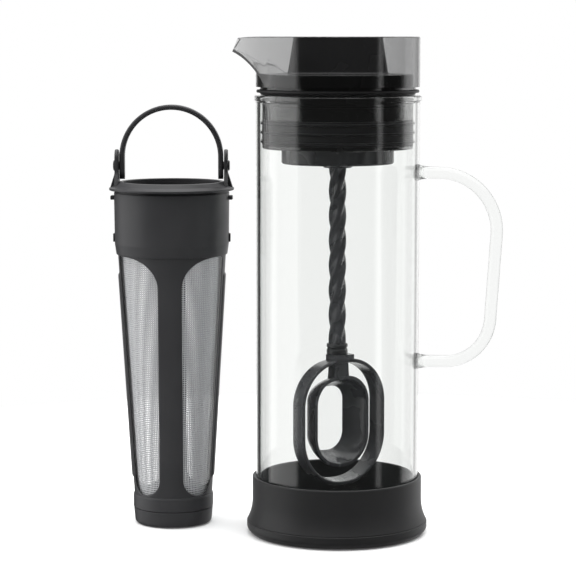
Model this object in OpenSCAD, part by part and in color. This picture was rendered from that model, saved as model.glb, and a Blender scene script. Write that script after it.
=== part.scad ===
// Cold brew coffee maker: glass carafe with a pouring lid and a stirring wand,
// and the filter basket that stands beside it.
// Millimetres. The origin is the centre of the carafe's foot on the table, +Z is up,
// the handle points along +X and the spout along -X.

/* [Carafe] */
// Outer diameter of the glass cylinder
glass_od = 95; // [85:0.5:110]
// Wall of the glass cylinder
glass_wall = 2.5; // [2:0.1:3.2]
// Height of the glass from its heel to its rim
glass_h = 253; // [235:1:280]
// Thickness of the glass floor
glass_floor = 4.5; // [3:0.5:8]
// Radius of the rounded heel of the glass
heel_r = 8; // [5:0.5:12]
// How far the rolled rim bulges out
rim_bulge = 1; // [0.5:0.1:1.5]
// Height of the rolled rim
rim_h = 3.8; // [3:0.1:5]

/* [Handle] */
// Diameter of the glass rod
handle_d = 7; // [6:0.25:9]
// Diameter of the flared welds
weld_d = 9.4; // [9:0.2:11]
// Reach of the rod's centreline from the carafe's axis
handle_reach = 95.9; // [88:0.5:110]
// How much shorter the reach is at the lower corner
handle_taper = 7.2; // [0:0.2:12]
// Height of the upper weld above the table
weld_top_z = 212.6; // [195:0.5:225]
// Distance between the two welds
weld_gap = 109.4; // [90:0.5:130]
// Bend radius of the upper corner
bend_top_r = 33; // [24:0.5:36]
// Bend radius of the lower corner
bend_low_r = 27; // [20:0.5:34]

/* [Base boot] */
// Height of the boot
boot_h = 34; // [24:0.5:45]
// Wall of the boot at its lip
boot_wall = 2; // [1.5:0.1:3]
// Thickness of the boot's floor
boot_floor = 3.5; // [2.5:0.25:5]
// How far the foot bead stands out past the lip
boot_flare = 3.3; // [2:0.1:4.5]
// Height of the foot bead
bead_h = 7.6; // [6:0.2:9]

/* [Lid] */
// Height of the pouring collar
collar_h = 28.7; // [26:0.1:34]
// Wall of the pouring collar
collar_wall = 3.6; // [3:0.1:4.2]
// Depth of the skirt below the collar
skirt_depth = 35.5; // [32:0.5:40]
// Gap between the skirt and the inside of the glass
skirt_gap = 1.35; // [1.2:0.05:2]
// Wall of the skirt
skirt_wall = 4.25; // [4:0.05:4.6]
// Reach of the spout's tip from the carafe's axis
spout_reach = 63.6; // [58:0.2:68]
// Wall of the spout
spout_wall = 1.8; // [1.4:0.1:2.4]
// Number of fins on the neck seal
fin_count = 3; // [2:1:3]
// Distance between two fins
fin_pitch = 5.3; // [4.6:0.1:6]

/* [Stopper] */
// Length of the grip at its foot
grip_l = 56.5; // [48:0.5:60]
// Thickness of the grip at its foot
grip_t = 20; // [16:0.5:24]
// Rest angle of the grip from the line of the spout
grip_turn = 15.5; // [0:0.5:30]
// Height of the deck above the bottom of the collar
deck_z = 7.2; // [6:0.1:9]
// Number of strainer slots in each group
slot_count = 5; // [3:1:6]
// Width of a strainer slot
slot_w = 2.6; // [2:0.1:3]

/* [Stirring wand] */
// Gap between the adapter cup and the lip of the socket
cup_gap = 2.1; // [1:0.1:4]
// Diameter across the lobes of the rod
rod_od = 10.2; // [9:0.1:12]
// Depth of the grooves between the lobes
lobe_depth = 1.15; // [0.6:0.05:1.5]
// Height of the twist in which the rod turns once
twist_pitch = 58; // [40:1:80]
// Height of the paddle above the glass floor
paddle_lift = 20.9; // [12:0.1:40]
// Height of the paddle's outer hoop
paddle_h = 74.4; // [60:1:90]
// Width of the paddle's outer hoop
paddle_w = 60.5; // [50:0.5:72]
// Gap between the outer hoop and the scoop
hoop_gap = 8.2; // [5:0.1:10]
// Rest angle of the paddle from the line of the spout
paddle_turn = 51.5; // [0:0.5:90]

/* [Filter basket] */
// Distance from the carafe's axis to the basket's axis
basket_x = 101.4; // [95:0.2:130]
// Angle of the basket about its own axis
basket_turn = 15.5; // [0:0.5:90]
// Height of the frame's top above the table
basket_h = 198.6; // [185:0.2:215]
// Diameter of the frame's top
basket_top_od = 68.3; // [66.5:0.1:68.6]
// Diameter of the frame's lower end
basket_low_od = 46.6; // [42:0.2:50]
// Wall of the frame
frame_wall = 1.7; // [1.4:0.1:2.2]
// Height of the band above the windows
band_h = 36.8; // [30:0.2:45]
// Width of the front and the back rib
rib_w = 14; // [11:0.1:17]
// Width of the arch that joins a rib to the band
arch_w = 20; // [14:0.1:21]
// Height of that arch
arch_h = 18; // [10:0.1:24]
// Height of the bottom cap
cap_h = 9.7; // [8.5:0.1:12]
// Thickness of the woven mesh
mesh_t = 0.5; // [0.4:0.05:0.8]

/* [Bail] */
// Width across the bail
bail_w = 61.3; // [58:0.1:61.5]
// Thickness of the bail's strap
bail_t = 3; // [2.4:0.1:3.6]
// Depth of the bail's strap
bail_d = 8; // [6:0.2:9]
// Height of the bail's top above its pegs
bail_rise = 35.9; // [33:0.1:42]
// Diameter of a peg
peg_d = 4.8; // [4:0.1:5.4]

/* [Fits] */
// Gap between parts that turn in each other
turn_gap = 0.3; // [0.25:0.05:0.4]
// Gap between parts that are pushed together
push_gap = 0.1; // [0.05:0.05:0.15]
// Clearance of a peg in its hole, on the radius
peg_gap = 0.05; // [0.03:0.01:0.08]

/* [Hidden] */
$fn = 96;

black = [0.10, 0.10, 0.10];
dark = [0.20, 0.20, 0.21];
smoke = [0.45, 0.45, 0.45, 0.6];
clear = [0.85, 0.92, 0.92, 0.35];
grey_mesh = [0.62, 0.62, 0.62];
silicone = [0.30, 0.30, 0.30];

// Carafe
glass_r = glass_od / 2;
bore_r = glass_r - glass_wall;
rim_z = boot_floor + glass_h;
floor_z = boot_floor + glass_floor;

// Lid, from the rim upwards
gasket_gap = 0.2;
gasket_t = 2.9;
gasket_z = rim_z + gasket_gap;
flange_t = 1.7;
collar_z = gasket_z + gasket_t + flange_t;
lid_top = collar_z + collar_h;
collar_in_r = glass_r - collar_wall;
seat_r = collar_in_r + 1.3;
gasket_r = glass_r - 0.5;

// Lid, from the rim downwards
skirt_r = bore_r - skirt_gap;
skirt_in_r = skirt_r - skirt_wall;
skirt_z = collar_z - skirt_depth;
skirt_corner = 3;
groove_depth = 1.7;
seal_depth = 1.05;
seal_margin = 2;
seal_z = skirt_z + 2.1;
seal_h = 2 * seal_margin + (fin_count - 1) * fin_pitch;
fin_t = 1;

// Stopper
deck_top = collar_z + deck_z;
deck_t = 2.4;
deck_r = collar_in_r - turn_gap;
socket_r = skirt_in_r - turn_gap;
socket_wall = 2.2;
socket_in_r = socket_r - socket_wall;
socket_z = skirt_z + 0.8;
lip_t = 2.8;
lug_t = 2.4;
lug_gap = 0.3;
lug_r = basket_top_od / 2 + 2.15;
lip_r = basket_top_od / 2 + 0.55;
lug_span = 20;
stop_span = 8;
lip_top = socket_z + lip_t;
oring_d = 1.2;
oring_z = socket_z + 24;
grip_h = lid_top - deck_top;
grip_draft = 2.2;
grip_corner = 5;

// Wand
cup_r = lip_r - cup_gap;
cup_wall = 2;
cup_floor = 2.5;
cup_drop = 8.8;
cup_z = skirt_z - cup_drop;
cup_rise = 14;
cup_top = lip_top + cup_rise;
washer_d = 17;
washer_t = 2.4;
tenon_r = 3;
screw_r = 1.5;
screw_head_r = 5;
screw_head_t = 2.6;
screw_l = 12;
rod_top = cup_z - washer_t;
boss_h = 8;
boss_top = cup_z + boss_h;
paddle_z = floor_z + paddle_lift;
paddle_top = paddle_z + paddle_h;
bridge_w = 10;
bridge_d = 7.4;
hub_w = 14;
hub_d = 9.5;
hub_h = 2.4;
hub_root = 1.5;
ferrule_d = 12.3;
ferrule_h = 6.3;
ferrule_z = paddle_top + hub_h;
rod_low = ferrule_z + ferrule_h;
tenon_low = ferrule_z - 3.5;
hoop_t = 2.2;
hoop_depth = 11.4;
hoop_front = 7.5;
hoop_taper = 1.1;
scoop_depth = 16.1;
scoop_front = 5.2;
scoop_taper = 6;

// Basket
frame_top_r = basket_top_od / 2;
band_z = basket_h - band_h;
band_step = 1.2;
chamfer_h = 6.4;
cone_top_r = frame_top_r - 2.15;
cone_low_r = basket_low_od / 2;
ring_low_h = 8.3;
neck_z = 4.3;
neck_wall = 2;
cap_gap = 0.2;
cap_wall = 1.85;
cap_floor = 2.5;
ring_low_z = cap_h + cap_gap;
ring_low_top = ring_low_z + ring_low_h;
cap_r = cone_low_r + 0.45;
neck_r = cap_r - cap_wall - turn_gap;
ledge_z = ring_low_top - 1.6;
pad_rise = 0.75;
pad_margin_top = 11;
pad_margin_low = 9.5;
key_rise = 0.7;
key_h = 5;
key_z = band_z + 7.2;
mouth_r = 28.75;
flange_r = frame_top_r + 2.8;
ring_t = 6.2;
ring_seal_t = 1.2;
spigot_h = 7;
spigot_wall = 1.5;
ring_z = basket_h + ring_seal_t;
ring_top = ring_z + ring_t - ring_seal_t;

// Bail and ears
bail_r = bail_w / 2;
ear_gap = 0.55;
ear_t = 2.2;
ear_in = bail_r + ear_gap;
ear_out = ear_in + ear_t;
pivot_z = ring_top + 9.4;
ear_top = pivot_z + 9.6;
ear_r = 6;
peg_r = peg_d / 2;
peg_head_r = peg_r + 0.7;
leg_drop = 8;

// Outline of a four-cornered window or hoop with round corners, as a list of points.
// The two upper corners have radius rt and the two lower ones rb.
function round_outline(wt, wb, low, high, rt, rb, n) = [
    for (k = [0 : n - 1])
        let (t = 360 * (k + 0.5) / n,
             side = cos(t) >= 0 ? 1 : -1,
             upper = sin(t) >= 0,
             r = upper ? rt : rb,
             w = upper ? wt : wb)
        [side * (w / 2 - r) + r * cos(t), (upper ? high - rt : low + rb) + r * sin(t)]
];

// Points of an arc in the drawing plane
function arc(cx, cy, r, from, to, steps) = [
    for (k = [0 : steps])
        let (t = from + (to - from) * k / steps)
        [cx + r * cos(t), cy + r * sin(t)]
];

// Triangles of a closed ring: m sections of n points each, the last joined to the first
function ring_faces(m, n) = [
    for (i = [0 : m - 1], k = [0 : n - 1])
        let (a = i * n + k,
             b = i * n + (k + 1) % n,
             c = ((i + 1) % m) * n + (k + 1) % n,
             d = ((i + 1) % m) * n + k)
        each [[a, b, c], [a, c, d]]
];

// ---- Carafe ----

module carafe_glass() {
    inner_heel = heel_r - glass_wall;
    lip_r = rim_h / 2;
    color(clear)
        rotate_extrude()
            polygon(concat(
                [[0, boot_floor]],
                arc(glass_r - heel_r, boot_floor + heel_r, heel_r, -90, 0, 8),
                [[glass_r, rim_z - rim_h]],
                [[glass_r + rim_bulge, rim_z - rim_h * 0.7]],
                [[glass_r + rim_bulge, rim_z - rim_h * 0.35]],
                arc(glass_r + rim_bulge - lip_r * 0.6, rim_z - lip_r * 0.6, lip_r * 0.6, 15, 90, 4),
                arc(bore_r + lip_r * 0.6, rim_z - lip_r * 0.6, lip_r * 0.6, 90, 180, 4),
                arc(bore_r - inner_heel, floor_z + inner_heel, inner_heel, 0, -90, 8),
                [[0, floor_z]]
            ));
}

// Centreline of the handle in the XZ plane: straight runs joined by two bends
weld_low_z = weld_top_z - weld_gap;
handle_corner_top = [handle_reach, weld_top_z - 0.6];
handle_corner_low = [handle_reach - handle_taper, weld_low_z + 1.2];
handle_start = [glass_r - 1, weld_top_z];
handle_end = [glass_r - 1, weld_low_z];
flare_l = 7;
handle_sides = 16;

function unit(v) = v / norm(v);

// Arc that rounds the corner p between the points a and b
function bend(a, p, b, r, steps) =
    let (u = unit(a - p),
         v = unit(b - p),
         half = acos(u * v) / 2,
         centre = p + unit(u + v) * r / sin(half),
         from = p + u * r / tan(half) - centre,
         start = atan2(from[1], from[0]),
         sweep = 180 - 2 * half)
    [for (k = [0 : steps])
        centre + r * [cos(start - sweep * k / steps), sin(start - sweep * k / steps)]];

function run(a, b, steps) = [for (k = [0 : steps - 1]) a + (b - a) * k / steps];

handle_path = concat(
    run(handle_start, handle_start + flare_l * unit(handle_corner_top - handle_start), 6),
    [handle_start + flare_l * unit(handle_corner_top - handle_start)],
    bend(handle_start, handle_corner_top, handle_corner_low, bend_top_r, 16),
    bend(handle_corner_top, handle_corner_low, handle_end, bend_low_r, 16),
    [handle_end + flare_l * unit(handle_corner_low - handle_end)],
    [for (k = [5 : -1 : 0])
        handle_end + flare_l * unit(handle_corner_low - handle_end) * k / 6]
);

// Radius of the rod, flared towards a weld
function flared(p) =
    let (s = min(norm(p - handle_start), norm(p - handle_end)))
    handle_d / 2 + (weld_d - handle_d) / 2 * pow(max(0, 1 - s / flare_l), 2);

module glass_handle() {
    last = len(handle_path) - 1;
    points = [
        for (i = [0 : last])
            let (p = handle_path[i],
                 ahead = unit(handle_path[min(i + 1, last)] - handle_path[max(i - 1, 0)]),
                 r = flared(p))
            for (k = [0 : handle_sides - 1])
                let (t = 360 * k / handle_sides)
                [p[0] - ahead[1] * r * cos(t), r * sin(t), p[1] + ahead[0] * r * cos(t)]
    ];
    walls = [
        for (i = [0 : last - 1], k = [0 : handle_sides - 1])
            let (a = i * handle_sides + k,
                 b = i * handle_sides + (k + 1) % handle_sides)
            each [[a, a + handle_sides, b + handle_sides], [a, b + handle_sides, b]]
    ];
    ends = [[for (k = [0 : handle_sides - 1]) k],
            [for (k = [handle_sides - 1 : -1 : 0]) last * handle_sides + k]];
    color(clear)
        difference() {
            polyhedron(points, concat(walls, ends));
            translate([0, 0, weld_low_z - weld_d])
                cylinder(r = glass_r, h = weld_gap + 2 * weld_d);
        }
}

module base_boot() {
    cavity_r = glass_r + push_gap;
    lip_r = boot_wall / 2;
    wall_r = cavity_r + boot_wall;
    bead_r = wall_r + boot_flare;
    foot_r = bead_r - bead_h * 0.5;
    groove = 0.5;
    color(black)
        rotate_extrude()
            polygon(concat(
                [[0, 0], [foot_r, 0]],
                arc(foot_r, bead_h * 0.5, bead_h * 0.5, -78, 0, 6),
                [[bead_r, bead_h - 0.5], [bead_r - groove, bead_h], [bead_r - groove, bead_h + 0.4]],
                [for (k = [1 : 5])
                    [wall_r + (boot_flare - groove) * pow(1 - k / 6, 2.2),
                     bead_h + 0.4 + (boot_h * 0.55 - bead_h) * k / 6]],
                [[wall_r, boot_h * 0.6]],
                arc(wall_r - lip_r, boot_h - lip_r, lip_r, 0, 180, 6),
                arc(cavity_r - heel_r, boot_floor + heel_r, heel_r, 0, -90, 8),
                [[0, boot_floor]]
            ));
}

// ---- Lid ----

// Plan of the spout: two walls that leave the collar almost in line with a circle of
// radius r, and a round tip of radius t, or an open one
tip_r = 4;
tip_x = spout_reach - tip_r;
blend = 0.25;
channel_dam = 0.5;

module spout_plan(r, t, open) {
    lean = acos((r - blend - t) / tip_x);
    side = [-(r - blend) * cos(lean), (r - blend) * sin(lean)];
    tip = [-tip_x - t * cos(lean), t * sin(lean)];
    polygon(concat(
        [side],
        open ? [tip, [-spout_reach - 2, tip[1]], [-spout_reach - 2, -tip[1]], [tip[0], -tip[1]]]
             : arc(-tip_x, 0, t, 180 - lean, 180 + lean, 10),
        [[side[0], -side[1]]]
    ));
}

// Space under the spout: a round scoop whose axis lies across the spout
under_r = 57.8;
under_past = 16.2;
under_drop = 64;
under_x = spout_reach + under_past;
under_z = lid_top - under_drop;
spout_top_drop = 0.9;

module under_spout(r) {
    translate([-under_x, 0, under_z])
        rotate([90, 0, 0])
            cylinder(r = r, h = 2 * glass_r, center = true);
}

// Slanted face at the tip of the spout
tip_back = 5.4;
tip_lean = 31.3;

module tip_cut() {
    translate([-spout_reach + tip_back, 0, lid_top - spout_top_drop])
        rotate([0, tip_lean, 0])
            translate([-glass_r, -glass_r, -2 * collar_h])
                cube([glass_r, 2 * glass_r, 3 * collar_h]);
}

module spout_outer() {
    difference() {
        translate([0, 0, collar_z])
            linear_extrude(collar_h - spout_top_drop)
                spout_plan(glass_r, tip_r, false);
        under_spout(under_r);
        tip_cut();
        translate([0, 0, collar_z - 1])
            cylinder(r = glass_r - collar_wall / 2, h = collar_h + 2);
    }
}

module spout_channel() {
    difference() {
        translate([0, 0, deck_top + channel_dam])
            linear_extrude(collar_h)
                spout_plan(collar_in_r, tip_r - spout_wall, true);
        under_spout(under_r + spout_wall);
    }
}

module pour_collar() {
    edge_r = 0.8;
    color(smoke)
        difference() {
            union() {
                rotate_extrude()
                    polygon(concat(
                        [[collar_in_r, collar_z], [glass_r, collar_z]],
                        arc(glass_r - edge_r, lid_top - edge_r, edge_r, 0, 90, 4),
                        arc(collar_in_r + edge_r, lid_top - edge_r, edge_r, 90, 180, 4)
                    ));
                spout_outer();
            }
            spout_channel();
        }
}

module lid_skirt() {
    groove_r = skirt_r - groove_depth;
    seal_r = skirt_r - seal_depth;
    color(smoke)
        rotate_extrude()
            polygon(concat(
                [[skirt_in_r, skirt_z]],
                arc(skirt_r - skirt_corner, skirt_z + skirt_corner, skirt_corner, -90, -45, 3),
                arc(skirt_r - skirt_corner, skirt_z + skirt_corner, skirt_corner, -40, -18, 2),
                [[seal_r, seal_z], [seal_r, seal_z + seal_h],
                 [skirt_r, seal_z + seal_h], [skirt_r, gasket_z],
                 [groove_r, gasket_z], [groove_r, gasket_z + gasket_t],
                 [seat_r, gasket_z + gasket_t], [seat_r, collar_z],
                 [skirt_in_r, collar_z]]
            ));
}

module rim_gasket() {
    groove_r = skirt_r - groove_depth;
    edge_r = 1.1;
    color(silicone)
        rotate_extrude()
            polygon(concat(
                [[groove_r + push_gap, gasket_z], [gasket_r - 0.6, gasket_z]],
                arc(gasket_r - edge_r, gasket_z + edge_r, edge_r, -45, 60, 5),
                [[seat_r + 0.6, gasket_z + gasket_t], [groove_r + push_gap, gasket_z + gasket_t]]
            ));
}

module fin_gasket() {
    inner_r = skirt_r - seal_depth + push_gap;
    sleeve_r = skirt_r;
    fin_r = bore_r - turn_gap;
    color(silicone)
        rotate_extrude()
            polygon(concat(
                [[inner_r, seal_z + push_gap], [sleeve_r, seal_z + push_gap]],
                [for (k = [0 : fin_count - 1])
                    let (z = seal_z + seal_margin + k * fin_pitch)
                    each [[sleeve_r, z - fin_t * 0.7], [fin_r, z - fin_t * 0.35],
                          [fin_r, z + fin_t * 0.35], [sleeve_r, z + fin_t * 0.7]]],
                [[sleeve_r, seal_z + seal_h - push_gap], [inner_r, seal_z + seal_h - push_gap]]
            ));
}

// ---- Stopper ----

module at_grip() {
    rotate([0, 0, grip_turn])
        children();
}

module stopper_deck() {
    rim_wall = 2.4;
    slot_l = 4.6;
    slot_r = socket_in_r - 2;
    slot_step = 8.5;
    color(dark)
        difference() {
            rotate_extrude()
                polygon(concat(
                    [[0, deck_top - deck_t],
                     [deck_r - rim_wall, deck_top - deck_t],
                     [deck_r - rim_wall, collar_z + turn_gap],
                     [deck_r, collar_z + turn_gap]],
                    arc(deck_r - 0.6, deck_top - 0.6, 0.6, 0, 90, 3),
                    [[0, deck_top]]
                ));
            at_grip()
                for (side = [0, 180], k = [0 : slot_count - 1])
                    rotate([0, 0, side + (k - (slot_count - 1) / 2) * slot_step])
                        translate([slot_r - slot_l, -slot_w / 2, deck_top - deck_t - 1])
                            cube([slot_l, slot_w, deck_t + 2]);
        }
}

module grip_slab(length, thick, z, h) {
    for (x = [-1, 1], y = [-1, 1])
        translate([x * (length / 2 - grip_corner), y * (thick / 2 - grip_corner), z])
            cylinder(r = grip_corner, h = h, $fn = 32);
}

module stopper_grip() {
    top_l = grip_l - 2 * grip_draft;
    top_t = grip_t - grip_draft;
    edge = 0.8;
    foot = 1.6;
    shell = 4.5;
    grip_top = 1.6;
    color(dark)
        at_grip()
            difference() {
                union() {
                    hull() {
                        grip_slab(grip_l, grip_t, deck_top, 0.1);
                        grip_slab(top_l, top_t, lid_top - edge, 0.1);
                        grip_slab(top_l - edge, top_t - edge, lid_top - 0.1, 0.1);
                    }
                    hull() {
                        grip_slab(grip_l + 2 * foot, grip_t + 2 * foot, deck_top, 0.2);
                        grip_slab(grip_l, grip_t, deck_top + foot, 0.1);
                    }
                }
                translate([-grip_l / 2 + shell, -grip_t / 2 + shell, deck_top - 1])
                    cube([grip_l - 2 * shell, grip_t - 2 * shell, grip_h - grip_top]);
            }
}

// Sector of a ring, from the angle a to the angle b
module sector(inner, outer, z, h, a, b) {
    translate([0, 0, z])
        rotate([0, 0, a])
            rotate_extrude(angle = b - a)
                translate([inner, 0])
                    square([outer - inner, h]);
}

lug_rest = 60;

module bayonet_socket() {
    top = deck_top - deck_t;
    notch_r = lug_r + lug_gap;
    notch_span = lug_span + 4;
    groove_r = socket_r - oring_d;
    color(dark)
        at_grip()
            difference() {
                union() {
                    rotate_extrude()
                        polygon([
                            [lip_r, socket_z], [socket_r, socket_z],
                            [socket_r, oring_z - oring_d * 0.6], [groove_r, oring_z - oring_d * 0.6],
                            [groove_r, oring_z + oring_d * 0.6], [socket_r, oring_z + oring_d * 0.6],
                            [socket_r, top], [socket_in_r, top],
                            [socket_in_r, lip_top], [lip_r, lip_top]]);
                    for (side = [0, 180])
                        sector(lug_r - 1, socket_in_r + 0.5, lip_top, lug_t + 2 * lug_gap,
                               side + lug_rest + lug_span / 2 + 1,
                               side + lug_rest + lug_span / 2 + 1 + stop_span);
                }
                for (side = [0, 180])
                    sector(lip_r - 1, notch_r, socket_z - 1, lip_t + 2,
                           side - notch_span / 2, side + notch_span / 2);
            }
}

module stopper_seal() {
    color(silicone)
        translate([0, 0, oring_z])
            rotate_extrude()
                translate([socket_r - oring_d / 2 + push_gap, 0])
                    circle(r = oring_d / 2, $fn = 24);
}

// ---- Stirring wand ----

module wand_adapter() {
    edge = 1.2;
    boss_r = 7;
    lug_low = lip_top + lug_gap;
    color(dark)
        difference() {
            union() {
                rotate_extrude()
                    polygon(concat(
                        [[0, cup_z]],
                        arc(cup_r - edge, cup_z + edge, edge, -90, 0, 4),
                        [[cup_r, cup_top], [cup_r - cup_wall, cup_top],
                         [cup_r - cup_wall, cup_z + cup_floor], [boss_r, cup_z + cup_floor],
                         [boss_r, boss_top], [0, boss_top]]
                    ));
                at_grip()
                    for (side = [0, 180])
                        sector(cup_r - 0.5, lug_r, lug_low, lug_t,
                               side + lug_rest - lug_span / 2, side + lug_rest + lug_span / 2);
            }
            translate([0, 0, cup_z - 1])
                cylinder(r = tenon_r + peg_gap, h = boss_top - cup_z + 2);
        }
}

module wand_screw() {
    color("silver")
        difference() {
            union() {
                translate([0, 0, boss_top - screw_l])
                    cylinder(r = screw_r, h = screw_l + 0.5);
                translate([0, 0, boss_top])
                    cylinder(r = screw_head_r, h = screw_head_t);
            }
            for (turn = [0, 90])
                rotate([0, 0, turn])
                    translate([-3, -0.5, boss_top + screw_head_t - 1.2])
                        cube([6, 1, 2]);
        }
}

module wand_washer() {
    edge = 0.7;
    washer_r = washer_d / 2;
    color(dark)
        rotate_extrude()
            polygon(concat(
                [[tenon_r + peg_gap, rod_top]],
                arc(washer_r - edge, rod_top + edge, edge, -90, 0, 3),
                arc(washer_r - edge, cup_z - edge, edge, 0, 90, 3),
                [[tenon_r + peg_gap, cup_z]]
            ));
}

module wand_rod() {
    lobes = 4;
    rod_sides = 36;
    length = rod_top - rod_low;
    mean_r = rod_od / 2 - lobe_depth / 2;
    outline = [
        for (k = [0 : rod_sides - 1])
            let (t = 360 * k / rod_sides,
                 r = mean_r + lobe_depth / 2 * cos(lobes * t))
            [r * cos(t), r * sin(t)]
    ];
    color(dark)
        difference() {
            union() {
                translate([0, 0, rod_low])
                    linear_extrude(height = length, twist = -360 * length / twist_pitch,
                                   slices = 40, segments = rod_sides, $fn = rod_sides)
                        polygon(outline);
                translate([0, 0, tenon_low])
                    cylinder(r = tenon_r, h = rod_low - tenon_low + 1);
                translate([0, 0, rod_top - 1])
                    cylinder(r = tenon_r, h = boss_top - rod_top + 1);
            }
            translate([0, 0, boss_top - screw_l - 1])
                cylinder(r = screw_r + peg_gap, h = screw_l + 2);
        }
}

module wand_ferrule() {
    edge = 0.6;
    lip = 0.5;
    r = ferrule_d / 2;
    color(dark)
        rotate_extrude()
            polygon([
                [tenon_r + peg_gap, ferrule_z], [r, ferrule_z],
                [r, ferrule_z + ferrule_h * 0.45], [r - lip, ferrule_z + ferrule_h * 0.5],
                [r - lip, ferrule_z + ferrule_h * 0.6], [r, ferrule_z + ferrule_h * 0.65],
                [r, rod_low - edge], [r - edge, rod_low], [tenon_r + peg_gap, rod_low]]);
}

// Corner radii of the paddle's outer hoop
hoop_rt = paddle_w * 0.44;
hoop_rb = paddle_w * 0.48;
hoop_sides = 56;

// Ring of the paddle: each pair in the section is [growth of the outline, depth]
module hoop_loft(w, low, high, rt, rb, section) {
    m = len(section);
    points = [
        for (s = section)
            for (p = round_outline(w + 2 * s[0], w + 2 * s[0], low - s[0], high + s[0],
                                   rt + s[0], rb + s[0], hoop_sides))
                [p[0], s[1], p[1]]
    ];
    polyhedron(points, ring_faces(m, hoop_sides));
}

module stir_paddle() {
    inset = hoop_t + hoop_gap;
    near = -hoop_front;
    far = hoop_depth - hoop_front;
    edge = 0.6;
    bridge_root = 0.2;
    // Outer hoop: a band with rounded edges that narrows a little towards the back
    hoop_section = [[0, near + edge], [-hoop_taper, far - edge], [-hoop_taper - edge, far],
                    [-hoop_taper - hoop_t + edge, far], [-hoop_taper - hoop_t, far - edge],
                    [-hoop_t, near + edge], [-hoop_t + edge, near], [-edge, near]];
    // Scoop: a curved wall that narrows towards the back
    steps = 5;
    scoop_out = [for (k = [0 : steps])
        let (u = k / steps)
        [-inset - scoop_taper * pow(u, 1.6), -scoop_front + scoop_depth * u]];
    scoop_in = [for (k = [steps : -1 : 0])
        let (u = k / steps)
        [-inset - hoop_t - scoop_taper * pow(u, 1.6) * 0.97, -scoop_front + scoop_depth * u]];
    color(dark)
        rotate([0, 0, paddle_turn])
            difference() {
                union() {
                    hoop_loft(paddle_w, paddle_z, paddle_top, hoop_rt, hoop_rb, hoop_section);
                    hoop_loft(paddle_w, paddle_z, paddle_top, hoop_rt, hoop_rb,
                              concat(scoop_out, scoop_in));
                    // Bridge that the scoop hangs from
                    translate([-bridge_w / 2, bridge_root - scoop_front,
                               paddle_top - inset - hoop_t + bridge_root])
                        cube([bridge_w, bridge_d,
                              inset + hoop_t - hoop_taper - 2 * bridge_root]);
                    // Hub
                    translate([-hub_w / 2, near, paddle_top - hub_root])
                        cube([hub_w, hub_d, hub_h + hub_root]);
                    translate([0, 0, paddle_top - hub_root])
                        cylinder(r = ferrule_d / 2, h = hub_h + hub_root);
                }
                translate([0, 0, tenon_low - 0.3])
                    cylinder(r = tenon_r + peg_gap, h = ferrule_z - tenon_low + 1);
            }
}

// ---- Filter basket ----

module at_basket() {
    translate([-basket_x, 0, 0])
        rotate([0, 0, basket_turn])
            children();
}

// Outer radius of the tapered frame at the height z
function frame_r(z) =
    cone_low_r + (cone_top_r - cone_low_r) * (z - ring_low_top) / (band_z - ring_low_top);

module cone_between(z0, z1, grow) {
    translate([0, 0, z0])
        cylinder(r1 = frame_r(z0) + grow, r2 = frame_r(z1) + grow, h = z1 - z0);
}

// Points of a quarter of an ellipse
function quarter(cx, cy, a, b, from, steps) = [
    for (k = [0 : steps])
        let (t = from + 90 * k / steps)
        [cx + a * cos(t), cy + b * sin(t)]
];

// Outline of a window as the mould cuts it, seen from the front
function window_outline() =
    let (x_in = rib_w / 2,
         top = band_z - 0.4,
         low = ring_low_top + 0.7,
         foot_w = 9.6,
         foot_h = 10,
         x_low = frame_r(low + foot_h) - frame_wall - 0.2,
         x_top = frame_r(top) - frame_wall - 0.2,
         x_mid = x_in + foot_w,
         x_arch = x_in + min(arch_w, x_top - x_in - 1))
    concat(quarter(x_mid, low + foot_h, foot_w, foot_h, 180, 8),
           quarter(x_mid, low + foot_h, x_low - x_mid, foot_h, 270, 8),
           [[x_top, top - 1], [x_top - 1, top]],
           quarter(x_arch, top - arch_h, x_arch - x_in, arch_h, 90, 14));

module windows() {
    for (side = [0, 1])
        mirror([side, 0, 0])
            rotate([90, 0, 0])
                linear_extrude(3 * frame_top_r, center = true)
                    polygon(window_outline());
}

// Raised pads down the two side ribs
module rib_pads() {
    pad_low = ring_low_top + pad_margin_low;
    pad_high = band_z - pad_margin_top;
    pad_w = 13;
    intersection() {
        difference() {
            cone_between(pad_low, pad_high, pad_rise);
            cone_between(pad_low - 1, pad_high + 1, -0.5);
        }
        translate([-2 * frame_top_r, -pad_w / 2, 0])
            cube([4 * frame_top_r, pad_w, basket_h]);
    }
}

module basket_frame() {
    tube_in_r = frame_top_r - frame_wall - 0.1;
    color(dark)
        at_basket()
            union() {
                difference() {
                    rotate_extrude()
                        polygon([
                            [neck_r - neck_wall, neck_z], [neck_r, neck_z],
                            [neck_r, ring_low_z], [cap_r + 0.15, ring_low_z],
                            [cap_r + 0.15, ring_low_top - 1], [cap_r - 0.2, ring_low_top],
                            [frame_r(ring_low_top), ring_low_top],
                            [cone_top_r, band_z],
                            [frame_top_r - band_step, band_z],
                            [frame_top_r - 0.3, band_z + chamfer_h],
                            [frame_top_r, basket_h - 1], [frame_top_r - 0.5, basket_h],
                            [tube_in_r, basket_h], [tube_in_r, band_z + 3],
                            [cone_top_r - frame_wall, band_z],
                            [frame_r(ledge_z) - frame_wall, ledge_z],
                            [neck_r - neck_wall, ledge_z]]);
                    windows();
                }
                rib_pads();
                for (side = [0, 180])
                    sector(frame_top_r - 0.8, lug_r, basket_h - 4.4, lug_t - 0.2,
                           side - 7, side + 7);
                // Small keys on the band, one under each lug
                for (side = [0, 180])
                    sector(frame_top_r - 0.8, frame_top_r + key_rise, key_z, key_h,
                           side - 3, side + 3);
            }
}

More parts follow.
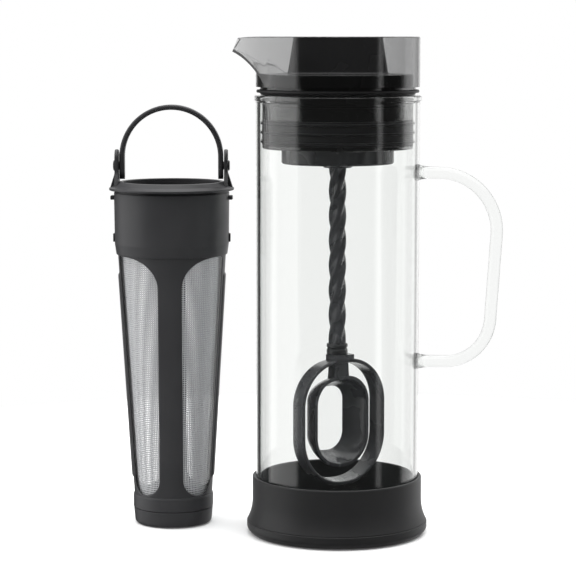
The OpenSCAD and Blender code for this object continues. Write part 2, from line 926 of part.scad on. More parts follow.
module mesh_sleeve() {
    low = ledge_z + push_gap;
    high = band_z - push_gap;
    out_low = frame_r(low) - frame_wall - push_gap;
    out_high = frame_r(high) - frame_wall - push_gap;
    color(grey_mesh)
        at_basket()
            rotate_extrude()
                polygon([[out_low - mesh_t, low], [out_low, low],
                         [out_high, high], [out_high - mesh_t, high]]);
}

module ear() {
    base_w = 22;
    base_low = ring_z + 2.6;
    base_high = ring_z + 5;
    base_in = 2;
    buttress_w = 6;
    buttress_low = ring_z + 0.6;
    buttress_mid = ring_z + 2;
    buttress_top = pivot_z - peg_head_r - 0.6;
    difference() {
        union() {
            translate([ear_in, 0, 0])
                rotate([90, 0, 90])
                    linear_extrude(ear_t) {
                        polygon([[-base_w / 2, base_low], [base_w / 2, base_low],
                                 [base_w / 2 - base_in, base_high],
                                 [ear_r, ear_top - ear_r], [-ear_r, ear_top - ear_r],
                                 [-base_w / 2 + base_in, base_high]]);
                        translate([0, ear_top - ear_r])
                            circle(r = ear_r);
                    }
            // Buttress that runs down to the edge of the flange
            rotate([90, 0, 0])
                linear_extrude(buttress_w, center = true)
                    polygon([[ear_in + 0.5, buttress_low], [flange_r - 0.4, buttress_low],
                             [flange_r - 0.8, buttress_mid], [ear_out, buttress_top],
                             [ear_in + 0.5, buttress_top]]);
        }
        translate([ear_in - ear_t, 0, pivot_z])
            rotate([0, 90, 0])
                cylinder(r = peg_r + peg_gap, h = 4 * ear_t);
    }
}

module basket_ring() {
    spigot_r = frame_top_r - frame_wall - 0.1 - push_gap;
    spigot_in = spigot_r - spigot_wall;
    color(dark)
        at_basket()
            union() {
                rotate_extrude()
                    polygon([
                        [spigot_in, basket_h - spigot_h], [spigot_r, basket_h - spigot_h],
                        [spigot_r, ring_z], [flange_r - 0.5, ring_z],
                        [flange_r, ring_z + 0.6], [flange_r - 0.3, ring_z + 1.4],
                        [frame_top_r - 0.6, ring_z + 2.8],
                        [mouth_r + 2.4, ring_top - 0.4], [mouth_r + 1.6, ring_top],
                        [mouth_r + 0.4, ring_top], [mouth_r, ring_top - 0.4],
                        [mouth_r, ring_z + 1], [spigot_in, ring_z - 0.8]]);
                ear();
                rotate([0, 0, 180])
                    ear();
            }
}

module ring_seal() {
    spigot_r = frame_top_r - frame_wall - 0.1 - push_gap;
    color(silicone)
        at_basket()
            rotate_extrude()
                translate([spigot_r + push_gap, basket_h])
                    square([frame_top_r - 0.3 - spigot_r - push_gap, ring_seal_t]);
}

module basket_bail() {
    arch_z = pivot_z + bail_rise - bail_r;
    leg_z = pivot_z - leg_drop;
    head_t = 0.8;
    color(dark)
        at_basket()
            union() {
                intersection() {
                    rotate([90, 0, 0])
                        linear_extrude(bail_d, center = true)
                            difference() {
                                union() {
                                    translate([0, arch_z])
                                        circle(r = bail_r);
                                    translate([-bail_r, leg_z])
                                        square([2 * bail_r, arch_z - leg_z]);
                                }
                                translate([0, arch_z])
                                    circle(r = bail_r - bail_t);
                                translate([-bail_r + bail_t, leg_z - 1])
                                    square([2 * (bail_r - bail_t), arch_z - leg_z + 1]);
                            }
                    // Rounds the lower ends of the two legs
                    rotate([90, 0, 90])
                        linear_extrude(2 * bail_w, center = true) {
                            translate([0, leg_z + bail_d / 2])
                                circle(r = bail_d / 2);
                            translate([-bail_d / 2, leg_z + bail_d / 2])
                                square([bail_d, bail_rise + leg_drop]);
                        }
                }
                for (side = [0, 180])
                    rotate([0, 0, side])
                        translate([bail_r - 0.5, 0, pivot_z])
                            rotate([0, 90, 0]) {
                                cylinder(r = peg_r, h = ear_gap + ear_t + 1);
                                translate([0, 0, ear_gap + ear_t + 0.7])
                                    cylinder(r1 = peg_head_r, r2 = peg_head_r - 0.7, h = head_t);
                            }
            }
}

module bottom_cap() {
    edge = 2.4;
    bore = neck_r + turn_gap;
    color(dark)
        at_basket()
            rotate_extrude()
                polygon(concat(
                    [[0, 0]],
                    arc(cap_r - 0.6 - edge, edge, edge, -90, 0, 5),
                    [[cap_r, cap_h - 0.4], [cap_r - 0.4, cap_h], [bore, cap_h],
                     [bore, cap_floor], [0, cap_floor]]
                ));
}

module cap_seal() {
    color(silicone)
        at_basket()
            rotate_extrude()
                translate([neck_r - neck_wall - 0.6, cap_floor])
                    square([neck_wall + 0.8, neck_z - cap_floor - turn_gap]);
}

carafe_glass();
glass_handle();
base_boot();
pour_collar();
lid_skirt();
rim_gasket();
fin_gasket();
stopper_deck();
stopper_grip();
bayonet_socket();
stopper_seal();
wand_adapter();
wand_screw();
wand_washer();
wand_rod();
wand_ferrule();
stir_paddle();
basket_frame();
mesh_sleeve();
basket_ring();
ring_seal();
basket_bail();
bottom_cap();
cap_seal();
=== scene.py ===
"""Studio scene of a cold brew coffee maker.

A glass carafe with a smoke-tinted pouring lid and a stirring wand stands beside its mesh filter
basket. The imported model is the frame: every new piece rides on one of its bodies and stands for
its CAD node. All sizes here are in millimetres and become metres in `Piece.build`.
"""

import logging
import math
from dataclasses import dataclass, replace
from enum import Enum
from typing import Any, Optional, Sequence

import bmesh
import bpy
import numpy as np
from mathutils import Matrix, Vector


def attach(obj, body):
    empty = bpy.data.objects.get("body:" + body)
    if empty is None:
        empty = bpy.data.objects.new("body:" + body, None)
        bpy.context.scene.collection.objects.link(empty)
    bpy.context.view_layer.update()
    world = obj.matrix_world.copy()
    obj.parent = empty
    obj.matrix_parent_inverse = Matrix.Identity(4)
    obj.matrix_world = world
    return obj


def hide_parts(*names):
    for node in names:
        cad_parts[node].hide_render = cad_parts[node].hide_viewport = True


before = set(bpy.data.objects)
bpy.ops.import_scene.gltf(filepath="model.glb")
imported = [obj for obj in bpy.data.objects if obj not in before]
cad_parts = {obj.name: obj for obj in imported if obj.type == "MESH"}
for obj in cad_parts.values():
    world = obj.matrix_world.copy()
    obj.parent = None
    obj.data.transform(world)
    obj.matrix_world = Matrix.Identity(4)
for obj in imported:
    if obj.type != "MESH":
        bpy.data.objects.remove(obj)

logging.basicConfig(level=logging.INFO, format="%(message)s")
log = logging.getLogger("coffee_maker")

MM = 0.001
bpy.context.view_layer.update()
FULL_TURN = 2 * math.pi
WELD_M = 2e-6  # points nearer than this are one point
SLIVER_M = 1e-7  # faces thinner than this are dropped


class Body(Enum):
    """Moving bodies of the frame."""

    CARAFE = "carafe"
    LID = "lid"
    STOPPER = "stopper"
    WAND = "wand"
    BASKET = "basket"
    BAIL = "bail"
    CAP = "cap"


class Slot(Enum):
    """Material slots of the record."""

    GLASS = "clear_glass"
    BOOT = "boot_silicone"
    SMOKE = "smoke_plastic"
    SEAL = "seal_silicone"
    BLACK = "black_plastic"
    STEEL = "screw_steel"
    WAND = "wand_plastic"
    BASKET = "basket_plastic"
    MESH = "woven_mesh"


# ---------------------------------------------------------------------------------------------
# Surfaces
# ---------------------------------------------------------------------------------------------


@dataclass(frozen=True)
class Sheet:
    """A grid of points that becomes one skin of a mesh.

    Attributes:
        points: Array of rows by columns by xyz, in millimetres.
        closed_rows: True if the last row joins the first one.
        closed_cols: True if the last column joins the first one.
        capped: True if a fan closes the first row and another one the last row.
        u_mm: Distance round the surface at each column, one more than there are columns.
        v_mm: Distance along the surface at each row.
    """

    points: np.ndarray
    closed_rows: bool = False
    closed_cols: bool = True
    capped: bool = False
    u_mm: Optional[np.ndarray] = None
    v_mm: Optional[np.ndarray] = None

    def skin(self) -> tuple[np.ndarray, np.ndarray, np.ndarray]:
        """Give the vertices, the quads and the triangles of the grid.

        A quad joins each point to its neighbours in the next row and column, and a cap is a fan
        of triangles round the mean of its row.

        Returns:
            Vertices in millimetres, quads and triangles as index arrays.
        """
        rows, cols = self.points.shape[:2]
        row = np.arange(rows if self.closed_rows else rows - 1)
        col = np.arange(cols if self.closed_cols else cols - 1)
        r, c = np.meshgrid(row, col, indexing="ij")
        rn, cn = (r + 1) % rows, (c + 1) % cols
        quads = np.stack([r * cols + c, r * cols + cn, rn * cols + cn, rn * cols + c], -1)
        vertices = [self.points.reshape(-1, 3)]
        fans = []
        for index in (0, rows - 1) if self.capped else ():
            centre = sum(len(v) for v in vertices)
            vertices.append(self.points[index].mean(0)[None])
            near = index * cols + col
            far = index * cols + (col + 1) % cols
            pair = (far, near) if index == 0 else (near, far)
            fans.append(np.stack([*pair, np.full_like(near, centre)], -1))
        triangles = np.concatenate(fans) if fans else np.zeros((0, 3), int)
        return np.concatenate(vertices), quads.reshape(-1, 4), triangles

    def uv(self) -> Optional[np.ndarray]:
        """Give the millimetre coordinates of each quad's corners.

        Returns:
            Quads by corners by u and v, or None for a sheet without them.
        """
        if self.u_mm is None or self.v_mm is None:
            return None
        rows, cols = self.points.shape[:2]
        r, c = np.meshgrid(np.arange(rows - 1), np.arange(cols), indexing="ij")
        u = np.stack([self.u_mm[c], self.u_mm[c + 1], self.u_mm[c + 1], self.u_mm[c]], -1)
        v = np.stack([self.v_mm[r], self.v_mm[r], self.v_mm[r + 1], self.v_mm[r + 1]], -1)
        return np.stack([u, v], -1).reshape(-1, 4, 2)

    def turned(self, degrees: float, centre: tuple[float, float] = (0.0, 0.0)) -> "Sheet":
        """Turn the sheet about the vertical and then move it to centre.

        A point goes to x cos a - y sin a, x sin a + y cos a, plus the centre.

        Args:
            degrees: The angle, anticlockwise from above.
            centre: Where the vertical through the origin goes, as x and y.

        Returns:
            The turned sheet.
        """
        a = math.radians(degrees)
        x, y = self.points[..., 0], self.points[..., 1]
        return replace(self, points=np.stack([
            centre[0] + x * math.cos(a) - y * math.sin(a),
            centre[1] + x * math.sin(a) + y * math.cos(a), self.points[..., 2]], -1))


def signed_volume(vertices: np.ndarray, quads: np.ndarray, triangles: np.ndarray) -> float:
    """Give the volume that the faces enclose: a sixth of the sum of v0 . (v1 x v2).

    Args:
        vertices: Points.
        quads: Four indices for each quad.
        triangles: Three indices for each triangle.

    Returns:
        The volume, negative if the faces point inwards.
    """
    parts = np.concatenate([quads[:, [0, 1, 2]], quads[:, [0, 2, 3]], triangles])
    a, b, c = (vertices[parts[:, k]] for k in range(3))
    return float(np.einsum("ij,ij->i", a, np.cross(b, c)).sum() / 6)


def fillet(corners: Sequence[tuple[float, float, float]], steps: int = 6,
           closed: bool = True, limit: float = 0.49) -> np.ndarray:
    """Round the corners of an outline.

    Where two edges meet at the angle 2a, an arc of radius r touches them r / tan(a) from the
    corner, and its centre lies r / sin(a) along their bisector.

    Args:
        corners: The outline's corners as x, y and radius.
        steps: Number of steps in each arc.
        closed: False if the first and last corners are the ends of an open line.
        limit: Share of an edge that one arc may take up.

    Returns:
        The points of the outline.
    """
    pts = np.array(corners, float)
    count = len(pts)
    out = []
    for i, (x, y, radius) in enumerate(pts):
        here = np.array([x, y])
        if radius <= 0 or (not closed and i in (0, count - 1)):
            out.append(here[None])
            continue
        u, v = pts[i - 1, :2] - here, pts[(i + 1) % count, :2] - here
        reach_limit = limit * min(np.linalg.norm(u), np.linalg.norm(v))
        u, v = u / np.linalg.norm(u), v / np.linalg.norm(v)
        half = math.acos(float(np.clip(u @ v, -1, 1))) / 2
        reach = min(radius / math.tan(half), reach_limit)
        radius = reach * math.tan(half)
        centre = here + (u + v) / np.linalg.norm(u + v) * radius / math.sin(half)
        start = math.atan2(*(here + u * reach - centre)[::-1])
        end = math.atan2(*(here + v * reach - centre)[::-1])
        sweep = (end - start + math.pi) % (2 * math.pi) - math.pi
        t = start + sweep * np.linspace(0, 1, steps + 1)
        out.append(centre + radius * np.stack([np.cos(t), np.sin(t)], -1))
    return np.concatenate(out)


def revolve(profile: np.ndarray, steps: int = 160, axis: str = "z",
            along: float = 1.0) -> Sheet:
    """Turn a profile about an axis: x = r cos t, y = r sin t, z = h.

    A profile that starts and ends on the axis gets a flat cap at both ends, and any other one is
    a closed loop that makes a ring.

    Args:
        profile: Points of radius and height.
        steps: Number of steps round the axis.
        axis: "z", or "x" for a pin that lies along X.
        along: -1 if a pin points along -X.

    Returns:
        The surface as a sheet.
    """
    capped = profile[0, 0] < 1e-6 and profile[-1, 0] < 1e-6
    rows = profile[1:-1] if capped else profile
    t = np.linspace(0, FULL_TURN, steps, endpoint=False)
    r, h = rows[:, 0, None], np.repeat(rows[:, 1, None], steps, 1)
    a, b = r * np.cos(t), r * np.sin(t)
    points = np.stack([a, b, h] if axis == "z" else [h * along, a * along, b], -1)
    return Sheet(points, closed_rows=not capped, capped=capped)


def carried(path: np.ndarray, section: np.ndarray, closed: bool = False) -> Sheet:
    """Carry a section along a path that lies in the XZ plane.

    At each point of the path the section's first coordinate runs along the path's normal, and
    the second along Y.

    Args:
        path: Points of x and z.
        section: For each point of the path, a closed loop of normal and Y offsets.
        closed: True if the path closes on itself.

    Returns:
        The surface as a sheet, with caps on an open path.
    """
    ahead = np.gradient(path, axis=0)
    ahead /= np.linalg.norm(ahead, axis=1, keepdims=True)
    normal = np.stack([-ahead[:, 1], ahead[:, 0]], -1)
    x = path[:, None, 0] + section[..., 0] * normal[:, None, 0]
    z = path[:, None, 1] + section[..., 0] * normal[:, None, 1]
    return Sheet(np.stack([x, section[..., 1], z], -1), closed_rows=closed, capped=not closed)


def smooth_step(x: np.ndarray) -> np.ndarray:
    """Rise from 0 to 1 as 3x^2 - 2x^3."""
    x = np.clip(x, 0, 1)
    return x * x * (3 - 2 * x)


# ---------------------------------------------------------------------------------------------
# Finishes
# ---------------------------------------------------------------------------------------------


def colour(code: str) -> tuple[float, float, float, float]:
    """Turn an sRGB hex code into a linear colour."""
    parts = [int(code[i:i + 2], 16) / 255 for i in (1, 3, 5)]
    r, g, b = (p / 12.92 if p <= 0.04045 else ((p + 0.055) / 1.055) ** 2.4 for p in parts)
    return r, g, b, 1.0


def add_node(tree: bpy.types.NodeTree, kind: str, settings: Optional[dict[str, Any]] = None,
             links: Optional[dict[Any, Any]] = None) -> bpy.types.Node:
    """Add a shader node.

    Args:
        tree: The node tree.
        kind: The node's type, without "ShaderNode".
        settings: Values for its inputs, or for its own properties.
        links: What to link into its inputs, by input name or number: a socket, or a node
            whose first output is meant.

    Returns:
        The node.
    """
    node = tree.nodes.new("ShaderNode" + kind)
    for key, value in (settings or {}).items():
        if hasattr(node, str(key)):
            setattr(node, key, value)
        else:
            node.inputs[key].default_value = value
    for key, source in (links or {}).items():
        is_node = isinstance(source, bpy.types.Node)
        tree.links.new(source.outputs[0] if is_node else source, node.inputs[key])
    return node


@dataclass(frozen=True)
class Finish:
    """A surface finish. Subclasses say how its nodes are laid out."""

    name: str

    def material(self) -> bpy.types.Material:
        """Give this finish's material, made the first time it is asked for.

        Returns:
            The material.
        """
        found = bpy.data.materials.get(self.name)
        if found:
            return found
        material = bpy.data.materials.new(self.name)
        material.use_nodes = True
        material.node_tree.nodes.clear()
        self.lay_out(material.node_tree)
        return material

    def lay_out(self, tree: bpy.types.NodeTree) -> None:
        """Make the finish's nodes in a tree."""
        raise NotImplementedError


@dataclass(frozen=True)
class Moulded(Finish):
    """Moulded polymer: a fine mould grain, and gloss that wanders a little over the part.

    Attributes:
        base: sRGB colour.
        roughness: Mean roughness.
        ior: Index of refraction, 1.46 to 1.57 for these polymers.
        grain_mm: Size of the mould's grain.
        grain_depth_mm: Depth of that grain.
        wander_mm: Size of the patches over which the gloss changes.
        wander: How much the roughness changes.
        coat: Weight of a clear, sharper gloss on top.
        bloom: Weight of the powdery sheen that silicone shows at a grazing view.
    """

    base: str = "#202021"
    roughness: float = 0.35
    ior: float = 1.53
    grain_mm: float = 0.5
    grain_depth_mm: float = 0.01
    wander_mm: float = 22.0
    wander: float = 0.06
    coat: float = 0.0
    bloom: float = 0.0

    def lay_out(self, tree: bpy.types.NodeTree) -> None:
        """Link grain to bump, and the wandering gloss to roughness and a trace of colour.

        Args:
            tree: The material's node tree.
        """
        place = add_node(tree, "TexCoord").outputs["Object"]
        grain = add_node(tree, "TexNoise", {"Scale": 1000 / self.grain_mm, "Detail": 3.0},
                         {"Vector": place})
        patch = add_node(tree, "TexNoise", {"Scale": 1000 / self.wander_mm, "Detail": 2.0},
                         {"Vector": place})
        rough = add_node(tree, "MapRange", {
            "From Min": 0.3, "From Max": 0.7,
            "To Min": self.roughness - self.wander, "To Max": self.roughness + self.wander,
        }, {"Value": patch})
        tint = add_node(tree, "MapRange", {"From Min": 0.3, "From Max": 0.7, "To Min": 0.93,
                                           "To Max": 1.07}, {"Value": patch})
        shade = add_node(tree, "HueSaturation", {"Color": colour(self.base)}, {"Value": tint})
        bump = add_node(tree, "Bump", {"Strength": 0.35, "Distance": self.grain_depth_mm * MM},
                        {"Height": grain})
        skin = add_node(tree, "BsdfPrincipled", {
            "IOR": self.ior, "Coat Weight": self.coat, "Coat Roughness": 0.08,
            "Sheen Weight": self.bloom, "Sheen Roughness": 0.45,
        }, {"Base Color": shade, "Roughness": rough, "Normal": bump})
        add_node(tree, "OutputMaterial", links={"Surface": skin})


@dataclass(frozen=True)
class DrawnGlass(Finish):
    """Borosilicate tube, drawn and fire-polished: clear, with faint waves along its length.

    Attributes:
        tint: sRGB colour that light keeps at each surface.
        wave_mm: Width of the drawn waves.
        stretch: How many times longer than wide a wave is.
        wave_depth_mm: Depth of the waves.
    """

    tint: str = "#FEFFFE"
    wave_mm: float = 14.0
    stretch: float = 6.0
    wave_depth_mm: float = 0.03

    def lay_out(self, tree: bpy.types.NodeTree) -> None:
        """Refract at the faces, which are bent a little by the drawn waves.

        Args:
            tree: The material's node tree.
        """
        place = add_node(tree, "TexCoord").outputs["Object"]
        drawn = add_node(tree, "Mapping", {"Scale": (1.0, 1.0, 1 / self.stretch)},
                         {"Vector": place})
        waves = add_node(tree, "TexNoise", {"Scale": 1000 / self.wave_mm, "Detail": 1.0},
                         {"Vector": drawn})
        bump = add_node(tree, "Bump", {"Strength": 1.0, "Distance": self.wave_depth_mm * MM},
                        {"Height": waves})
        glass = add_node(tree, "BsdfPrincipled", {
            "Base Color": colour(self.tint), "Roughness": 0.0, "IOR": 1.474,
            "Transmission Weight": 1.0,
        }, {"Normal": bump})
        see_through(tree, glass, "#F4F6F6")


@dataclass(frozen=True)
class SmokeTint(Finish):
    """Polished polycarbonate with a smoke tint: light dies away with the depth of plastic.

    Attributes:
        tint: sRGB colour of what the dye lets through.
        per_mm: Share of light that a millimetre takes away.
        roughness: Roughness of the polished faces.
    """

    tint: str = "#4A4B4D"
    per_mm: float = 0.14
    roughness: float = 0.02

    def lay_out(self, tree: bpy.types.NodeTree) -> None:
        """Refract at the faces and absorb in the volume.

        Args:
            tree: The material's node tree.
        """
        body = add_node(tree, "BsdfPrincipled", {
            "Base Color": (1.0, 1.0, 1.0, 1.0), "Roughness": self.roughness, "IOR": 1.57,
            "Transmission Weight": 1.0,
        })
        dye = add_node(tree, "VolumeAbsorption", {
            "Color": colour(self.tint), "Density": self.per_mm / MM,
        })
        see_through(tree, body, "#8A8A8C", dye)


def see_through(tree: bpy.types.NodeTree, surface: bpy.types.Node, shadow: str,
                volume: Optional[bpy.types.Node] = None) -> None:
    """Let shadow and diffuse rays pass a clear piece, which stands for its caustics.

    Args:
        tree: The node tree.
        surface: The refracting shader.
        shadow: sRGB colour of the light that passes.
        volume: The absorbing shader, if the piece is dyed.
    """
    path = add_node(tree, "LightPath")
    either = add_node(tree, "Math", {"operation": "MAXIMUM"},
                      {0: path.outputs["Is Shadow Ray"], 1: path.outputs["Is Diffuse Ray"]})
    clear = add_node(tree, "BsdfTransparent", {"Color": colour(shadow)})
    mix = add_node(tree, "MixShader", links={0: either, 1: surface, 2: clear})
    links = {"Surface": mix}
    if volume:
        links["Volume"] = volume
    add_node(tree, "OutputMaterial", links=links)


@dataclass(frozen=True)
class Woven(Finish):
    """Plain-woven filter mesh of polymer thread: light grey, and see-through between threads.

    The real threads lie 0.25 mm apart, which is finer than a pixel, so they are drawn `pitch_mm`
    apart, and then the near and the far side beat as they do in the photograph.

    Attributes:
        thread: sRGB colour of the thread.
        pitch_mm: Distance between two threads as drawn.
        open_share: How much of a hole lets light through.
    """

    thread: str = "#A9AAAC"
    pitch_mm: float = 1.3
    open_share: float = 0.95

    def lay_out(self, tree: bpy.types.NodeTree) -> None:
        """Open a hole where the sines of both directions are high, and paint shade on each
        crossing: the thread is painted lighter where the weave stands high and darker where it
        sinks.

        Args:
            tree: The material's node tree.
        """
        place = add_node(tree, "TexCoord").outputs["UV"]
        parts = add_node(tree, "SeparateXYZ", links={"Vector": place})
        waves = []
        for axis in ("X", "Y"):
            turn = add_node(tree, "Math", {"operation": "MULTIPLY", 1: FULL_TURN / self.pitch_mm},
                            {0: parts.outputs[axis]})
            waves.append(add_node(tree, "Math", {"operation": "SINE"}, {0: turn}))
        over = add_node(tree, "Math", {"operation": "MULTIPLY"}, {0: waves[0], 1: waves[1]})
        holes = []
        for wave in waves:
            holes.append(add_node(tree, "MapRange", {
                "From Min": -0.45, "From Max": 0.35, "interpolation_type": "SMOOTHSTEP",
            }, {"Value": wave}))
        hole = add_node(tree, "Math", {"operation": "MULTIPLY"}, {0: holes[0], 1: holes[1]})
        share = add_node(tree, "Math", {"operation": "MULTIPLY", 1: self.open_share},
                         {0: hole})
        # Painted light and shade: the thread colour runs from 0.8 to 1.2 with the weave's height,
        # lighter on high crossings and darker on low ones.
        value = add_node(tree, "MapRange", {"From Min": -1.0, "From Max": 1.0, "To Min": 0.8,
                                            "To Max": 1.2}, {"Value": over})
        shade = add_node(tree, "HueSaturation", {"Color": colour(self.thread)},
                         {"Value": value})
        bump = add_node(tree, "Bump", {"Strength": 0.5, "Distance": 0.08 * MM},
                        {"Height": over})
        thread = add_node(tree, "BsdfPrincipled", {"Roughness": 0.45, "IOR": 1.53},
                          {"Base Color": shade, "Normal": bump})
        gap = add_node(tree, "BsdfTransparent")
        mix = add_node(tree, "MixShader", links={0: share, 1: thread, 2: gap})
        add_node(tree, "OutputMaterial", links={"Surface": mix})


@dataclass(frozen=True)
class TurnedSteel(Finish):
    """Stainless screw head, turned: a bright grey with fine rings that smear the gloss.

    Attributes:
        ring_mm: Distance between two turning marks.
    """

    ring_mm: float = 0.6

    def lay_out(self, tree: bpy.types.NodeTree) -> None:
        """Vary the roughness of a bright metal in rings about the screw's axis.

        Args:
            tree: The material's node tree.
        """
        place = add_node(tree, "TexCoord").outputs["Object"]
        rings = add_node(tree, "TexWave", {"wave_type": "RINGS", "rings_direction": "Z",
                                           "Scale": 1000 / self.ring_mm,
                                           "Distortion": 1.0},
                         {"Vector": place})
        rough = add_node(tree, "MapRange", {"To Min": 0.22, "To Max": 0.38},
                         {"Value": rings.outputs["Fac"]})
        metal = add_node(tree, "BsdfPrincipled", {"Base Color": colour("#C9CACB"),
                                                  "Metallic": 1.0},
                         {"Roughness": rough})
        add_node(tree, "OutputMaterial", links={"Surface": metal})


# Carafe: clear tube with a colourless rim, and a rod whose waves run wider.
BOROSILICATE = DrawnGlass("drawn_borosilicate_glass")
HANDLE_GLASS = DrawnGlass("bent_borosilicate_rod", wave_mm=30.0, stretch=1.0, wave_depth_mm=0.05)
# Lid: glossy, and darker the more plastic the eye looks through.
SMOKE = SmokeTint("smoke_tinted_polycarbonate")
# Silicone: soft, low gloss and, at a grazing view, a powdery bloom.
SILICONE_BOOT = Moulded("moulded_silicone_boot", base="#1D1D1E", roughness=0.5, ior=1.41,
                        grain_mm=0.8, grain_depth_mm=0.02, wander_mm=30.0, wander=0.05,
                        bloom=0.12)
SILICONE_SEAL = Moulded("moulded_silicone_seal", base="#161617", roughness=0.42, ior=1.41)
# Grip and socket: black with a satin polish that shows the softboxes with soft edges.
BLACK_ABS = Moulded("satin_black_abs", base="#303031", roughness=0.24, grain_depth_mm=0.004)
# Wand: dark grey under a slight polish, so that its edges catch bright lines.
WAND_NYLON = Moulded("semi_gloss_nylon", base="#3C3C3E", roughness=0.27, coat=0.35,
                     grain_depth_mm=0.004, wander=0.04)
# Basket: an even, matt dark grey with a fine grain.
BASKET_PP = Moulded("matt_polypropylene", base="#333335", roughness=0.42, ior=1.5, grain_mm=0.7,
                    grain_depth_mm=0.006)
MESH = Woven("plain_woven_mesh")
STEEL = TurnedSteel("turned_stainless_steel")


# ---------------------------------------------------------------------------------------------
# Pieces
# ---------------------------------------------------------------------------------------------


@dataclass
class Piece:
    """One visible piece.

    Attributes:
        name: The piece's name.
        sheets: Its skins.
        finish: Its finish.
        body: The body that it rides on.
        slot: The record's material slot; it is not used.
        stands_for: The CAD nodes that it stands for.
        weld: True if touching skins become one, which also closes poles.
        crease: Edges sharper than this many degrees stay sharp.
        open_skin: True for a thin cloth, which has no inside.
    """

    name: str
    sheets: Sequence[Sheet]
    finish: Finish
    body: Body
    slot: Slot
    stands_for: tuple[str, ...] = ()
    weld: bool = False
    crease: float = 38.0
    open_skin: bool = False

    def build(self) -> bpy.types.Object:
        """Make the mesh, point its faces outwards and hand it to the frame.

        Returns:
            The object, at the origin, with its place in its mesh.
        """
        vertices: list[np.ndarray] = []
        faces: list[list[int]] = []
        corners: list[np.ndarray] = []
        start = 0
        for sheet in self.sheets:
            points, quads, triangles = sheet.skin()
            uv = sheet.uv()
            if not self.open_skin and signed_volume(points, quads, triangles) < 0:
                quads, triangles = quads[:, ::-1], triangles[:, ::-1]
                uv = None if uv is None else uv[:, ::-1]
            vertices.append(points)
            faces += (quads + start).tolist() + (triangles + start).tolist()
            if uv is not None:
                corners.append(uv.reshape(-1, 2))
            start += len(points)
        mesh = bpy.data.meshes.new(self.name)
        mesh.from_pydata((np.concatenate(vertices) * MM).tolist(), [], faces)
        if corners:
            layer = mesh.uv_layers.new(name="threads_mm")
            layer.uv.foreach_set("vector", np.concatenate(corners).astype(np.float32).ravel())
        if self.weld:
            self._weld(mesh)
        mesh.polygons.foreach_set("use_smooth", np.ones(len(mesh.polygons), bool))
        mesh.set_sharp_from_angle(angle=math.radians(self.crease))
        mesh.update()
        mesh.validate()
        mesh.materials.append(self.finish.material())
        made = bpy.data.objects.new(self.name, mesh)
        bpy.context.scene.collection.objects.link(made)
        if not self.open_skin:
            weighted = made.modifiers.new("even_gloss", "WEIGHTED_NORMAL")
            weighted.keep_sharp = True
        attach(made, self.body.value)
        if self.stands_for:
            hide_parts(*self.stands_for)
        log.info("%-22s %7d faces, rides on %s", self.name, len(mesh.polygons), self.body.value)
        return made

    def _weld(self, mesh: bpy.types.Mesh) -> None:
        """Join points that coincide and turn all faces outwards.

        Args:
            mesh: The piece's mesh, which is changed.
        """
        work = bmesh.new()
        work.from_mesh(mesh)
        bmesh.ops.remove_doubles(work, verts=work.verts, dist=WELD_M)
        bmesh.ops.dissolve_degenerate(work, edges=work.edges, dist=SLIVER_M)
        bmesh.ops.recalc_face_normals(work, faces=work.faces)
        work.to_mesh(mesh)
        work.free()


@dataclass(frozen=True)
class Assembly:
    """A sub-assembly: pieces to build, and CAD nodes that only need a finish."""

    def pieces(self) -> list[Piece]:
        """Give the pieces to build."""
        raise NotImplementedError

    def dressed(self) -> dict[str, Finish]:
        """Give the finish of each CAD node whose shape is right."""
        return {}

    def build(self) -> None:
        """Build the pieces in order and dress the CAD nodes."""
        for piece in self.pieces():
            piece.build()
        for node, finish in self.dressed().items():
            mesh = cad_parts[node].data
            mesh.materials.clear()
            mesh.materials.append(finish.material())
            log.info("%-22s keeps its CAD shape", node)


# ---------------------------------------------------------------------------------------------
# Carafe
# ---------------------------------------------------------------------------------------------


